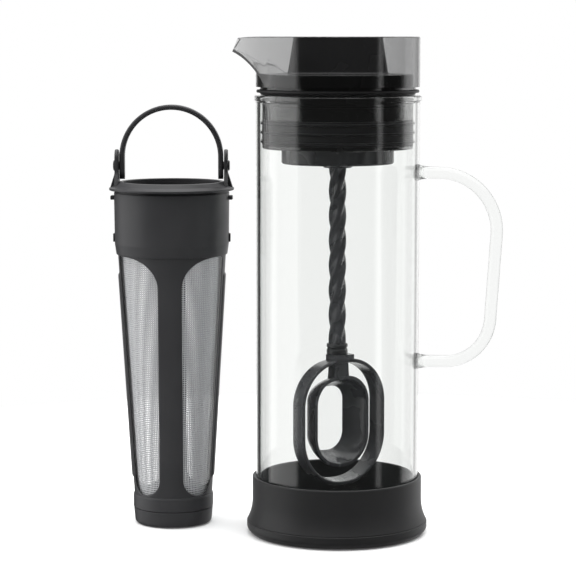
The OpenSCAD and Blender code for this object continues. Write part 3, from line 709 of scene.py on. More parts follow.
@dataclass(frozen=True)
class Carafe(Assembly):
    """Glass cylinder with its rod handle and silicone boot."""

    outer_r: float = 47.5
    bore_r: float = 45.0
    heel_z: float = 3.5  # underside of the glass, on the boot's floor
    floor_z: float = 8.0  # inside bottom of the glass
    rim_z: float = 256.5
    rim_bulge: float = 1.0  # how far the rolled rim stands out
    rim_h: float = 3.8
    handle_r: float = 3.5
    weld_r: float = 4.7  # the handle's radius at a weld
    flare_l: float = 7.0  # length over which it flares to that
    handle_corners: tuple[tuple[float, float], ...] = (
        (46.5, 212.6), (95.9, 212.0), (88.7, 104.4), (46.5, 103.2))
    handle_bends: tuple[float, float] = (33.0, 27.0)  # radii of the upper and the lower bend
    boot_h: float = 34.0
    boot_in_r: float = 47.6
    boot_wall: float = 2.0
    bead_r: float = 52.9  # outside of the bead round the boot's foot
    bead_h: float = 7.6

    def glass(self) -> Sheet:
        """Revolve the wall, with a rounded heel and a rolled rim."""
        rim = self.outer_r + self.rim_bulge
        return revolve(fillet([
            (0, self.heel_z, 0), (self.outer_r, self.heel_z, 8),
            (self.outer_r, self.rim_z - self.rim_h, 1.2),
            (rim, self.rim_z - self.rim_h * 0.72, 1.1),
            (rim, self.rim_z, 1.3), (self.bore_r, self.rim_z, 1.3),
            (self.bore_r, self.floor_z, 5.5), (0, self.floor_z, 0),
        ], steps=10, closed=False), 256)

    def handle(self) -> Sheet:
        """Carry a circle along the bent rod; its radius grows as (1 - s / l)^2 at a weld.

        Returns:
            The rod, with its ends inside the wall of the glass.
        """
        (a, b, c, d), (r1, r2) = self.handle_corners, self.handle_bends
        bends = fillet([(*a, 0), (*b, r1), (*c, r2), (*d, 0)], steps=40, closed=False,
                       limit=0.7)
        ends = [np.linspace(bends[0], bends[1], 24)[:-1], bends[1:-1],
                np.linspace(bends[-2], bends[-1], 24)[1:]]
        path = np.concatenate(ends)
        near = np.minimum(np.linalg.norm(path - path[0], axis=1),
                          np.linalg.norm(path - path[-1], axis=1)) - 1.0
        flare = np.clip(1 - near / self.flare_l, 0, 1) ** 2
        radius = self.handle_r + (self.weld_r - self.handle_r) * flare
        t = np.linspace(0, FULL_TURN, 40, endpoint=False)
        section = radius[:, None, None] * np.stack([np.cos(t), np.sin(t)], -1)
        return carried(path, section)

    def boot(self) -> Sheet:
        """Revolve the boot: a thin lip, a hollow flank that falls as (1 - z)^2.2, a fat bead.

        Returns:
            The boot, closed on its axis above and below.
        """
        lip_r = self.boot_in_r + self.boot_wall
        z = np.linspace(0, 1, 12)
        flank = np.stack([lip_r + (self.bead_r - 0.5 - lip_r) * (1 - z) ** 2.2,
                          self.bead_h + 0.5 + (self.boot_h * 0.6 - self.bead_h) * z], -1)
        foot = fillet([(0, 0, 0), (self.bead_r - 2.6, 0, 3.2), (self.bead_r, 3.4, 3.0),
                       (self.bead_r, self.bead_h - 0.2, 0.5),
                       (self.bead_r - 0.7, self.bead_h + 0.1, 0.15), (*flank[0], 0)],
                      steps=6, closed=False)
        top = fillet([(lip_r, self.boot_h * 0.62, 0), (lip_r, self.boot_h, 0.95),
                      (self.boot_in_r, self.boot_h, 0.95), (self.boot_in_r, self.heel_z, 8),
                      (0, self.heel_z, 0)], steps=8, closed=False)
        return revolve(np.concatenate([foot, flank[1:], top[1:]]), 256)

    def pieces(self) -> list[Piece]:
        """Give the glass, its handle and the boot."""
        return [
            Piece("glass_cylinder", [self.glass()], BOROSILICATE, Body.CARAFE, Slot.GLASS,
                  ("carafe_glass",), crease=60),
            Piece("glass_rod_handle", [self.handle()], HANDLE_GLASS, Body.CARAFE, Slot.GLASS,
                  ("glass_handle",), crease=60),
            Piece("silicone_boot", [self.boot()], SILICONE_BOOT, Body.CARAFE, Slot.BOOT,
                  ("base_boot",), crease=50),
        ]


# ---------------------------------------------------------------------------------------------
# Lid
# ---------------------------------------------------------------------------------------------


@dataclass(frozen=True)
class Lid(Assembly):
    """Smoke-tinted collar with its spout, the skirt below it and their two seals."""

    outer_r: float = 47.5
    bore_r: float = 43.9
    foot_z: float = 261.3  # underside of the collar
    dam_z: float = 269.0  # lowest height of the spout's floor
    top_z: float = 290.0
    spout_drop: float = 0.9  # how far the brim sinks towards the tip
    tip_x: float = 59.6
    tip_r: float = 4.0
    wall: float = 1.8
    lip_x: float = 62.95  # where the tip is cut off
    face_x: float = 58.2  # slanted end face, at the height of the brim
    face_slope: float = 0.608  # how far that face runs out for each millimetre down
    channel_x: float = 61.5  # end of the open channel
    scoop_x: float = 79.8  # centre of the round scoop under the spout
    scoop_z: float = 226.0
    scoop_r: float = 57.8
    skirt_r: float = 43.65
    skirt_in_r: float = 39.4
    skirt_z: float = 225.8
    gasket_z: float = 256.7
    gasket_t: float = 2.9
    seat_r: float = 45.2  # outside of the skirt between rim ring and collar
    kink_x: float = 38.53  # where the spout's floor turns in to the bore
    sleeve_bed_r: float = 42.6  # bed of the sleeve with the fins
    sleeve_top_z: float = 242.5
    ring_bed_r: float = 41.95  # bed of the rim ring
    ring_r: float = 47.0
    ring_low_r: float = 45.0  # outside of that ring at its foot
    sleeve_low_z: float = 228.0
    fin_r: float = 44.7
    fin_step: float = 5.3
    fin_count: int = 3

    def teardrop(self, t: np.ndarray, r: float, tip: float) -> np.ndarray:
        """Give the plan radius of a teardrop at polar angles t from the spout.

        Beyond the tangent point it is the circle r, then the tangent line r / cos(t - lean), and
        at the tip the round of radius tip about tip_x.

        Args:
            t: Polar angles in radians, 0 to pi.
            r: Radius of the collar's circle.
            tip: Radius of the tip.

        Returns:
            The radius at each angle.
        """
        lean = math.acos((r - tip) / self.tip_x)
        line = r / np.cos(np.minimum(t, lean) - lean)
        touch = math.atan2(tip * math.sin(lean), self.tip_x + tip * math.cos(lean))
        inside = np.clip(tip ** 2 - (self.tip_x * np.sin(t)) ** 2, 0, None)
        nose = self.tip_x * np.cos(t) + np.sqrt(inside)
        return np.where(t < touch, nose, line)

    def scoop(self, r: np.ndarray, t: np.ndarray, radius: float, floor: float) -> np.ndarray:
        """Give the height of a round scoop across the spout, scoop_z + sqrt(R^2 - x^2).

        Args:
            r: Distance from the axis.
            t: Polar angle from the spout.
            radius: Radius R of the scoop.
            floor: The least height.

        Returns:
            The height at each point.
        """
        x = self.scoop_x - r * np.cos(t)
        return np.maximum(floor, self.scoop_z + np.sqrt(np.clip(radius ** 2 - x ** 2, 0, None)))

    def collar(self) -> Sheet:
        """Make the collar and its spout as one closed surface of polar angle and section.

        Each column is the section of the wall at one polar angle: along the underside, up the
        outer wall, over the lip, down the inner wall, back over the channel's floor and down the
        bore. Parts of the section that an angle lacks have no length there.

        Returns:
            The collar as a closed sheet.
        """
        notch = math.atan2(self.tip_r - self.wall, self.face_x) * 0.72
        half = np.concatenate([
            np.linspace(0, notch, 5), np.linspace(notch * 1.03, math.radians(6), 24),
            np.radians(np.linspace(6.4, 48, 60)), np.radians(np.linspace(50, 180, 66))])
        t = half[None]
        ahead = np.maximum(np.cos(t), 0.5)
        outer = np.minimum(self.teardrop(t, self.outer_r, self.tip_r), self.lip_x / ahead)
        inner = self.teardrop(t, self.bore_r, self.tip_r - self.wall)
        reach = np.clip((outer - self.outer_r) / (self.tip_x + self.tip_r - self.outer_r), 0, 1)
        brim = self.top_z - self.spout_drop
        top = self.top_z - self.spout_drop * smooth_step(reach)
        open_tip = t <= notch
        inner = np.where(open_tip, self.channel_x / np.cos(t), inner)
        slant = brim - (inner * np.cos(t) + 0.35 - self.face_x) / self.face_slope
        top = np.where(np.cos(t) > 0.8, np.minimum(top, slant), top)
        bed = self.scoop((self.channel_x + 0.25) / np.cos(t), t, self.scoop_r + self.wall, 0)
        top = np.where(open_tip, bed, top)

        def face(z: np.ndarray) -> np.ndarray:
            """Cut the outer wall back to the slanted face at the tip."""
            cut = (self.face_x + (brim - z) * self.face_slope) / np.cos(t)
            return np.minimum(outer, np.where(np.cos(t) > 0.5, cut, outer))

        out_r = np.minimum(self.outer_r, outer)
        under_r = np.concatenate([
            self.bore_r + (out_r - self.bore_r) * np.linspace(0, 1, 4)[:, None],
            out_r * np.ones((8, 1)),
            out_r + (outer - out_r) * np.linspace(0, 1, 21)[1:, None]])
        under_z = self.scoop(under_r, t, self.scoop_r, self.foot_z)
        under_z[:4] = self.foot_z
        root_z = self.scoop(out_r, t, self.scoop_r, self.foot_z)
        under_z[4:12] = self.foot_z + (root_z - self.foot_z) * np.linspace(0, 1, 9)[1:, None]
        radius = 0.2 + 0.6 * smooth_step((np.degrees(t) - 4.2) / 4)
        low = under_z[-1:]
        edge_z = brim - (outer * np.cos(t) - self.face_x) / self.face_slope
        edge_z = np.where(np.cos(t) > 0.5, edge_z, low + (top - low) / 2)
        edge_z = np.clip(edge_z, low + 0.01, np.maximum(top - radius - 0.01, low + 0.01))
        wall_z = np.concatenate([
            low + (edge_z - low) * np.linspace(0, 1, 8)[1:, None],
            edge_z + (top - radius - edge_z) * np.linspace(0, 1, 8)[1:, None]])
        wall_r = face(wall_z)
        a = np.radians(np.linspace(0, 90, 7))[1:, None]
        lip_out_z = top - radius + radius * np.sin(a)
        lip_out_r = face(top - radius) - radius + radius * np.cos(a)
        lip_in_r = np.minimum(inner + radius - radius * np.cos(a[::-1]), lip_out_r[-1:])
        lip_in_z = top - radius + radius * np.sin(a[::-1])
        floor_top = self.scoop(inner, t, self.scoop_r + self.wall, self.dam_z)
        floor_top = np.minimum(floor_top, top - radius)
        drop_z = top - radius + (floor_top - top + radius) * np.linspace(0, 1, 9)[:, None]
        drop_r = inner * np.ones_like(drop_z)
        inner_kink = np.clip(self.kink_x / np.maximum(np.cos(t), 0.05), self.bore_r, inner)
        floor_r = np.concatenate([
            inner + (inner_kink - inner) * np.linspace(0, 1, 15)[1:, None],
            inner_kink + (self.bore_r - inner_kink) * np.linspace(0, 1, 4)[1:, None]])
        floor_z = np.minimum(self.scoop(floor_r, t, self.scoop_r + self.wall, self.dam_z),
                             floor_top)
        bore_z = floor_z[-1:] + (self.foot_z - floor_z[-1:]) * np.linspace(0, 1, 5)[1:-1, None]
        bore_r = self.bore_r * np.ones_like(bore_z)
        r = np.concatenate([under_r, wall_r, lip_out_r, lip_in_r, drop_r, floor_r, bore_r])
        z = np.concatenate([under_z, wall_z, lip_out_z, lip_in_z, drop_z, floor_z, bore_z])
        right = np.stack([-r * np.cos(t), r * np.sin(t), z], -1)
        left = (right * [1, -1, 1])[:, 1:-1][:, ::-1]
        return Sheet(np.concatenate([right, left], 1), closed_rows=True)

    def skirt(self) -> Sheet:
        """Revolve the plug of the lid, with the beds of both seals."""
        gasket_top = self.gasket_z + self.gasket_t
        return revolve(fillet([
            (self.skirt_in_r, self.skirt_z, 0.8), (self.skirt_r, self.skirt_z, 3.4),
            (self.skirt_r, self.skirt_z + 2.0, 0), (self.sleeve_bed_r, self.skirt_z + 2.1, 0.2),
            (self.sleeve_bed_r, self.sleeve_top_z, 0.2), (self.skirt_r, self.sleeve_top_z, 0.4),
            (self.skirt_r, self.gasket_z, 0.3), (self.ring_bed_r, self.gasket_z, 0.2),
            (self.ring_bed_r, gasket_top, 0.2), (self.seat_r, gasket_top, 0.3),
            (self.seat_r, self.foot_z, 0.1), (self.skirt_in_r, self.foot_z, 0.4),
        ], steps=5), 224)

    def rim_ring(self) -> Sheet:
        """Revolve the ring that rests on the glass rim."""
        low, top, inside = self.gasket_z, self.gasket_z + self.gasket_t, self.ring_bed_r + 0.1
        return revolve(fillet([
            (inside, low, 0.2), (self.ring_low_r - 0.4, low, 0.4),
            (self.ring_low_r, low + 1.2, 0.4), (self.ring_r, low + 1.3, 0.5),
            (self.ring_r, top, 0.6), (inside, top, 0.2)], steps=5), 224)

    def fins(self) -> Sheet:
        """Revolve the sleeve; each fin has a root of 1.5 mm and a rounded edge of 0.6 mm.

        Returns:
            The sleeve with its fins.
        """
        low, high = self.sleeve_low_z, self.sleeve_top_z - 0.1
        inside, root = self.sleeve_bed_r + 0.1, self.skirt_r
        line: list[tuple[float, float, float]] = [(inside, low, 0.1), (root, low, 0.2)]
        for k in range(self.fin_count):
            z = low + 1.9 + k * self.fin_step
            line += [(root, z - 0.75, 0.3), (self.fin_r, z - 0.3, 0.25),
                     (self.fin_r, z + 0.3, 0.25), (root, z + 0.75, 0.3)]
        line += [(root, high, 0.2), (inside, high, 0.1)]
        return revolve(fillet(line, steps=4), 224)

    def pieces(self) -> list[Piece]:
        """Give the collar, the skirt and their two seals."""
        return [
            Piece("pouring_collar", [self.collar()], SMOKE, Body.LID, Slot.SMOKE,
                  ("pour_collar",), weld=True, crease=32),
            Piece("neck_skirt", [self.skirt()], SMOKE, Body.LID, Slot.SMOKE, ("lid_skirt",)),
            Piece("rim_ring", [self.rim_ring()], SILICONE_SEAL, Body.LID, Slot.SEAL,
                  ("rim_gasket",)),
            Piece("neck_fins", [self.fins()], SILICONE_SEAL, Body.LID, Slot.SEAL,
                  ("fin_gasket",)),
        ]


# ---------------------------------------------------------------------------------------------
# Stopper
# ---------------------------------------------------------------------------------------------


@dataclass(frozen=True)
class Stopper(Assembly):
    """Turning plate with the grip, the socket below it and its seal."""

    turn: float = 15.5
    deck_z: float = 268.5
    top_z: float = 290.0
    panel: float = 46.4  # length of the grip's flat side
    foot_l: float = 58.0
    top_l: float = 50.8
    foot_t: float = 20.0
    top_t: float = 17.8
    roll: float = 1.6  # radius of the grip's rolled foot
    edge: float = 0.9  # radius of its top edge

    def grip(self) -> Sheet:
        """Stack rounded rectangles: a rolled foot, flanks with draft and a softened top edge.

        Each level is a rectangle whose ends are quarter rounds; the flat panel between them
        keeps its length all the way up.

        Returns:
            The grip, turned to its place.
        """
        share = np.linspace(0, 1, 16)
        low, high = self.deck_z + self.roll, self.top_z - self.edge
        level = low + (high - low) * share
        foot = np.radians(np.linspace(0, 90, 8))[:-1]
        edge = np.radians(np.linspace(0, 90, 7))[1:]
        z = np.concatenate([self.deck_z + self.roll * (1 - np.cos(foot)), level,
                            high + self.edge * np.sin(edge)])
        grow = np.concatenate([self.roll * (1 - np.sin(foot)), np.zeros_like(level),
                               -self.edge * (1 - np.cos(edge))])
        up = np.clip((z - self.deck_z) / (self.top_z - self.deck_z), 0, 1)
        length = self.foot_l + (self.top_l - self.foot_l) * up
        thick = self.foot_t + (self.top_t - self.foot_t) * up
        round_x = (length - self.panel) / 2
        round_y = np.minimum(round_x * 1.3, thick / 2 - 1)
        a = np.radians(np.linspace(0, 90, 10))
        quarter = [(1, 1, a), (-1, 1, a[::-1]), (-1, -1, a), (1, -1, a[::-1])]
        x = np.concatenate([sx * (self.panel / 2 + (round_x + grow)[:, None] * np.cos(q))
                            for sx, _, q in quarter], 1)
        y = np.concatenate([sy * ((thick / 2 - round_y)[:, None]
                                  + (round_y + grow)[:, None] * np.sin(q))
                            for _, sy, q in quarter], 1)
        points = np.stack([x, y, np.repeat(z[:, None], x.shape[1], 1)], -1)
        return Sheet(points, capped=True).turned(self.turn)

    def pieces(self) -> list[Piece]:
        """Give the grip."""
        return [Piece("turning_grip", [self.grip()], BLACK_ABS, Body.STOPPER, Slot.BLACK,
                      ("stopper_grip",), crease=45)]

    def dressed(self) -> dict[str, Finish]:
        """Give the finishes of the plate, the socket and their seal."""
        return {"stopper_deck": BLACK_ABS, "bayonet_socket": BLACK_ABS,
                "stopper_seal": SILICONE_SEAL}


# ---------------------------------------------------------------------------------------------
# Stirring wand
# ---------------------------------------------------------------------------------------------


@dataclass(frozen=True)
class Wand(Assembly):
    """Adapter cup, twisted rod and paddle."""

    rod_low: float = 112.0
    rod_top: float = 214.6
    mean_r: float = 4.525  # the rod's radius between lobe and hollow
    lobe: float = 0.575
    pitch: float = 58.0  # height of one full twist
    paddle_w: float = 60.5
    paddle_low: float = 28.9
    paddle_high: float = 103.3
    corner_top: float = 26.6
    corner_low: float = 29.0
    hoop_t: float = 2.2
    hoop_taper: float = 1.1
    gap: float = 8.2  # between hoop and scoop
    front: float = 7.5  # how far the hoop's front edge stands before the axis
    depth: float = 11.4
    scoop_front: float = 5.2
    scoop_depth: float = 16.1
    taper: float = 6.0  # how far the scoop draws in at its back
    turn: float = 51.5
    boss_r: float = 6.15  # boss on the paddle, and the ferrule
    boss_h: float = 3.9
    core_r: float = 3.05  # hole for the rod's core
    ferrule_low: float = 105.7
    washer_r: float = 8.5
    washer_t: float = 2.4

    def rod(self) -> Sheet:
        """Twist a four-lobed bar: r = mean + lobe cos(4t), turned by 360 z / pitch degrees.

        Returns:
            The bar, with a cap at each end.
        """
        z = np.linspace(self.rod_low - 0.5, self.rod_top, 320)[:, None]
        t = np.linspace(0, FULL_TURN, 96, endpoint=False)[None]
        r = self.mean_r + self.lobe * np.cos(4 * t)
        a = t + FULL_TURN * (z - self.rod_low) / self.pitch
        return Sheet(np.stack([r * np.cos(a), r * np.sin(a), z + 0 * a], -1), capped=True)

    def oval(self, grow: np.ndarray, depth: np.ndarray, count: int = 160) -> np.ndarray:
        """Place the paddle's outline at each growth and depth.

        The outline is a rectangle whose upper corners are rounds of corner_top and whose lower
        ones are rounds of corner_low; growth moves it outwards by that much all round.

        Args:
            grow: Growth of each loop, in millimetres.
            depth: Depth of each loop behind the wand's axis.
            count: Number of points round the outline.

        Returns:
            Loops by points by xyz.
        """
        t = (np.arange(count) + 0.5) / count * FULL_TURN
        upper = np.sin(t) >= 0
        g = grow[:, None]
        r = np.where(upper, self.corner_top, self.corner_low)[None] + g
        x = np.sign(np.cos(t)) * (self.paddle_w / 2 + g - r) + r * np.cos(t)
        z = np.where(upper, self.paddle_high + g - r, self.paddle_low - g + r) + r * np.sin(t)
        return np.stack([x, np.repeat(depth[:, None], count, 1), z], -1)

    def hoop(self) -> Sheet:
        """Carry a slim rounded section round the outer oval; it draws in a little behind."""
        far = self.depth - self.front
        section = fillet([(0, -self.front, 0.8), (-self.hoop_taper, far, 0.8),
                          (-self.hoop_taper - self.hoop_t, far, 0.8),
                          (-self.hoop_t, -self.front, 0.8)], steps=5)
        return Sheet(self.oval(section[:, 0], section[:, 1]), closed_rows=True)

    def scoop(self) -> Sheet:
        """Carry the scoop's wall round: it draws in by taper u^1.6 from front to back.

        Returns:
            The scoop as a closed band.
        """
        inset = self.hoop_t + self.gap
        u = np.linspace(0, 1, 22)
        draw = self.taper * u ** 1.6
        depth = -self.scoop_front + self.scoop_depth * u
        outer = np.stack([-inset - draw, depth], -1)
        inner = np.stack([-inset - self.hoop_t - draw * 0.97, depth], -1)[::-1]
        line = [(*p, 0) for p in outer] + [(*p, 0) for p in inner]
        count = len(line)
        for i in (0, count // 2 - 1, count // 2, count - 1):
            line[i] = (line[i][0], line[i][1], 0.75)
        section = fillet(line, steps=4)
        return Sheet(self.oval(section[:, 0], section[:, 1]), closed_rows=True)

    def block(self, x: float, y0: float, y1: float, z0: float, z1: float, r: float,
              flare: float = 0.0) -> Sheet:
        """Stack rounded rectangles into a block whose top and bottom edges are soft.

        Args:
            x: Half its width.
            y0: Near side.
            y1: Far side.
            z0: Bottom.
            z1: Top.
            r: Radius of its upright edges.
            flare: How much wider it is at the bottom, falling off as a square.

        Returns:
            The block.
        """
        z = np.linspace(z0, z1, 12)
        wide = flare * (1 - (z - z0) / (z1 - z0)) ** 2
        loops = []
        for height, extra in zip(z, wide):
            edge = fillet([(-x - extra, y0, r), (x + extra, y0, r), (x + extra, y1, r),
                           (-x - extra, y1, r)], steps=5)
            loops.append(np.column_stack([edge, np.full(len(edge), height)]))
        return Sheet(np.array(loops), capped=True)

    def pieces(self) -> list[Piece]:
        """Give the paddle, the rod, and the ferrule and washer at its ends.

        Returns:
            The four pieces.
        """
        inset = self.hoop_t + self.gap
        top, low, joint = self.paddle_high, self.ferrule_low, self.rod_low
        boss = revolve(fillet([
            (0, top - 1.5, 0), (self.boss_r, top - 1.5, 0),
            (self.boss_r, top - 1.5 + self.boss_h, 0.3), (0, top - 1.5 + self.boss_h, 0),
        ], steps=4, closed=False), 64).turned(-self.turn)
        paddle = [self.hoop(), self.scoop(), boss,
                  self.block(5.0, -5.0, 2.4, top - inset - self.hoop_t + 0.2, top - 1.3, 1.0, 0.8),
                  self.block(7.0, -self.front, 2.0, top - 1.5, top - 1.5 + self.boss_h, 0.5)]
        groove_r = self.boss_r - 0.5
        ferrule = revolve(fillet([
            (self.core_r, low, 0.1), (self.boss_r, low, 0.4), (self.boss_r, low + 2.8, 0.4),
            (groove_r, low + 3.2, 0.2), (groove_r, low + 3.8, 0.2), (self.boss_r, low + 4.2, 0.4),
            (self.boss_r, joint, 0.7), (self.core_r, joint, 0.1)]), 96)
        under, over = self.rod_top, self.rod_top + self.washer_t
        washer = revolve(fillet([
            (self.core_r, under, 0.1), (self.washer_r, under, 0.8), (self.washer_r, over, 0.8),
            (self.core_r, over, 0.1)]), 96)
        return [
            Piece("stirring_paddle", [sheet.turned(self.turn) for sheet in paddle], WAND_NYLON,
                  Body.WAND, Slot.WAND, ("stir_paddle",), crease=45),
            Piece("twisted_rod", [self.rod()], WAND_NYLON, Body.WAND, Slot.WAND,
                  ("wand_rod",), crease=60),
            Piece("rod_ferrule", [ferrule], BLACK_ABS, Body.WAND, Slot.BLACK,
                  ("wand_ferrule",)),
            Piece("rod_washer", [washer], BLACK_ABS, Body.WAND, Slot.BLACK, ("wand_washer",)),
        ]

    def dressed(self) -> dict[str, Finish]:
        """Give the finishes of the cup and the screw."""
        return {"wand_adapter": BLACK_ABS, "wand_screw": STEEL}


# ---------------------------------------------------------------------------------------------
# Filter basket
# ---------------------------------------------------------------------------------------------


@dataclass(frozen=True)
class Basket(Assembly):
    """Tapered frame with its mesh, flanged ring, bail and bottom cap."""

    place: tuple[float, float] = (-101.4, 0.0)  # where its axis stands in the frame
    turn: float = 15.5
    top_r: float = 34.15
    top_z: float = 198.6
    wall: float = 1.7
    band_z: float = 161.8  # foot of the solid band, top of the cone
    cone_top_r: float = 32.0
    cone_low_r: float = 23.3
    foot_z: float = 18.2  # bottom of the cone
    ring_z: float = 9.9  # underside of the foot, over the cap
    cap_r: float = 23.75
    rib_half: float = 7.0  # half width of the front and rear ribs
    arch: tuple[float, float] = (20.0, 18.0)  # quarter ellipse under the band
    flange_z: float = 199.8
    pivot_z: float = 214.2
    bail_r: float = 30.65
    bail_top: float = 250.1
    arc_w: float = 9.6  # inner quarter ellipse at the foot
    arc_h: float = 10.0
    soft: float = 0.55  # rounding of a window's edge
    pad_half: float = 6.5
    pad_rise: float = 0.8
    lug: tuple[float, ...] = (-4.4, -2.2, 2.15, 7.4)  # low, high, reach, half angle
    key: tuple[float, ...] = (7.2, 12.2, 0.7, 3.0)  # the same, from the foot of the band
    neck_r: float = 21.6  # neck that the cap takes
    neck_z: float = 4.3
    ledge_z: float = 16.6  # ledge in the foot that the mesh stands on
    cap_bore_r: float = 21.9
    cap_top_z: float = 9.7
    cap_floor_z: float = 2.5
    mouth_r: float = 28.75  # inside of the ring's mouth
    spigot_h: float = 7.0
    ear_in: float = 31.2  # inner face of an ear
    ear_t: float = 2.2
    ear_half: float = 6.0
    ear_rise: float = 9.6  # top of an ear above its hole
    hole_r: float = 2.45
    strap_t: float = 3.0
    strap_half: float = 4.0
    cloth_r: float = 26.0  # radius at which the weave's spacing is true
    cloth_steps: int = 160

    def cone_r(self, z: np.ndarray) -> np.ndarray:
        """Give the outer radius of the cone at height z, a straight line."""
        share = (z - self.foot_z) / (self.band_z - self.foot_z)
        return self.cone_low_r + (self.cone_top_r - self.cone_low_r) * share

    def placed(self, sheets: Sequence[Sheet]) -> list[Sheet]:
        """Turn sheets by the basket's angle and move them to its axis."""
        return [sheet.turned(self.turn, self.place) for sheet in sheets]

    def window(self) -> tuple[np.ndarray, np.ndarray]:
        """Trace one window and the quarter of the frame around it, point for point.

        The window is what the mould cuts straight through, front to back: upright inner edge,
        quarter ellipses at its foot, a tall quarter ellipse under the band and an outer edge
        that follows the cone. Its partner lies on the quarter's own edge, 0 to 90 degrees.

        Returns:
            Window points of x and z, and border points of angle in degrees and z.
        """
        low, top = self.foot_z + 0.7, self.band_z - 0.4
        x_in, knee = self.rib_half, low + self.arc_h
        x_low = float(self.cone_r(np.array(knee))) - self.wall - 0.2
        x_top = float(self.cone_r(np.array(top))) - self.wall - 0.2
        arch_w, arch_h = self.arch
        spring = top - arch_h
        border_low, border_high = self.foot_z - 1.0, self.band_z + 1.0

        def arc(cx: float, cz: float, a: float, b: float, start: float, n: int) -> np.ndarray:
            """Give n points of a quarter ellipse from the angle start."""
            t = np.radians(np.linspace(start, start + 90, n))
            return np.stack([cx + a * np.cos(t), cz + b * np.sin(t)], -1)

        mid = x_in + self.arc_w
        shape = [arc(mid, knee, self.arc_w, self.arc_h, 180, 17),
                 arc(mid, knee, x_low - mid, self.arc_h, 270, 17)[1:],
                 np.linspace((x_low, knee), (x_top, top - 1.5), 60)[1:],
                 arc(x_top - 1.5, top - 1.5, 1.5, 1.5, 0, 9)[1:],
                 np.linspace((x_top - 1.5, top), (x_in + arch_w, top), 6)[1:],
                 arc(x_in + arch_w, spring, arch_w, arch_h, 90, 29)[1:],
                 np.linspace((x_in, spring), (x_in, knee), 60)[1:-1]]
        stops = [(0, knee, 8), (0, border_low, 8), (45, border_low, 8), (90, border_low, 8),
                 (90, knee, 59), (90, top - 4, 4), (90, border_high, 4), (70, border_high, 5),
                 (56, border_high, 14), (0, border_high, 14), (0, spring, 59)]
        border = [np.linspace(here[:2], after[:2], here[2] + 1)[:-1]
                  for here, after in zip(stops, stops[1:] + stops[:1])]
        return np.concatenate(shape), np.concatenate(border)

    def cage(self) -> list[Sheet]:
        """Skin the windowed cone: outside, rounded window edge and inside, a quarter at a time.

        Rows run from the quarter's border across the outside to the window, over its edge and
        back inside. A point at x and z lies on the cone of radius R at the angle asin(x / R).

        Returns:
            The skins of the four quarters and the narrow rings that close them.
        """
        shape, border = self.window()
        z_b, outer_b, soft = border[:, 1], self.cone_r(border[:, 1]), self.soft
        rows: list[np.ndarray] = []

        def add(line: np.ndarray, sunk: float, share: float, border_sunk: float = 0.0) -> None:
            """Add the row that lies share of the way from the border to a line at the window.

            Args:
                line: Points of x and z near the window.
                sunk: How far below the cone's outside they lie.
                share: 0 at the border, 1 at the window.
                border_sunk: How far below the cone's outside the border lies.
            """
            radius_w = self.cone_r(line[:, 1]) - sunk
            at_window = np.degrees(np.arcsin(np.clip(line[:, 0] / radius_w, -1, 1)))
            angle = np.radians(border[:, 0] + (at_window - border[:, 0]) * share)
            radius_b = outer_b - border_sunk
            radius = radius_b + (radius_w - radius_b) * share
            z = z_b + (line[:, 1] - z_b) * share
            rows.append(np.stack([radius * np.sin(angle), -radius * np.cos(angle), z], -1))

        step = np.roll(shape, -1, 0) - np.roll(shape, 1, 0)
        out = np.stack([step[:, 1], -step[:, 0]], -1)
        out /= np.linalg.norm(out, axis=1, keepdims=True)
        away = shape + out * soft
        for share in np.linspace(0, 1, 14) ** 0.8:
            add(away, 0.0, float(share))
        for side, angles in ((1, (30, 60, 90)), (-1, (90, 60, 30, 0))):
            for a in np.radians(angles):
                depth = soft * (1 - math.cos(a))
                add(shape + out * soft * (1 - math.sin(a)),
                    depth if side == 1 else self.wall - depth, 1.0)
        for share in np.linspace(1, 0, 8)[1:]:
            add(away, self.wall, float(share), self.wall)
        quarter = np.array(rows)
        sheets = []
        for sx, sy in ((1, 1), (-1, 1), (-1, -1), (1, -1)):
            skin = quarter * [sx, sy, 1]
            sheets.append(Sheet(skin))
            for level in (border[:, 1].min(), border[:, 1].max()):
                on = np.isclose(border[:, 1], level)
                ends = np.array([skin[0][on], skin[-1][on]])
                sheets.append(Sheet(ends[:, np.argsort(border[on, 0])], closed_cols=False))
        return sheets

    def band(self) -> Sheet:
        """Revolve the band above the windows, with the step where the cone begins."""
        inner = self.top_r - self.wall - 0.1
        return revolve(fillet([
            (self.cone_top_r - 1.6, self.band_z - 0.2, 0.1), (self.cone_top_r, self.band_z, 0.1),
            (self.top_r - 1.2, self.band_z + 0.1, 0.4), (self.top_r - 0.3, self.band_z + 6.4, 2),
            (self.top_r, self.top_z, 0.5), (inner, self.top_z, 0.3),
            (inner, self.band_z + 3, 1), (self.cone_top_r - 1.6, self.band_z + 0.6, 0.1)]), 192)

    def foot(self) -> Sheet:
        """Revolve the ring under the windows and the neck that the cap takes."""
        neck = self.neck_r
        return revolve(fillet([
            (neck - 2, self.neck_z, 0.3), (neck, self.neck_z, 0.3), (neck, self.ring_z, 0.2),
            (self.cap_r + 0.15, self.ring_z, 0.4), (self.cap_r + 0.15, self.foot_z - 1, 0.6),
            (self.cap_r - 0.2, self.foot_z, 0.3), (self.cone_low_r - 1.5, self.foot_z, 0.3),
            (self.cone_low_r - 1.9, self.ledge_z, 0.2), (neck - 2, self.ledge_z, 0.4)]), 160)

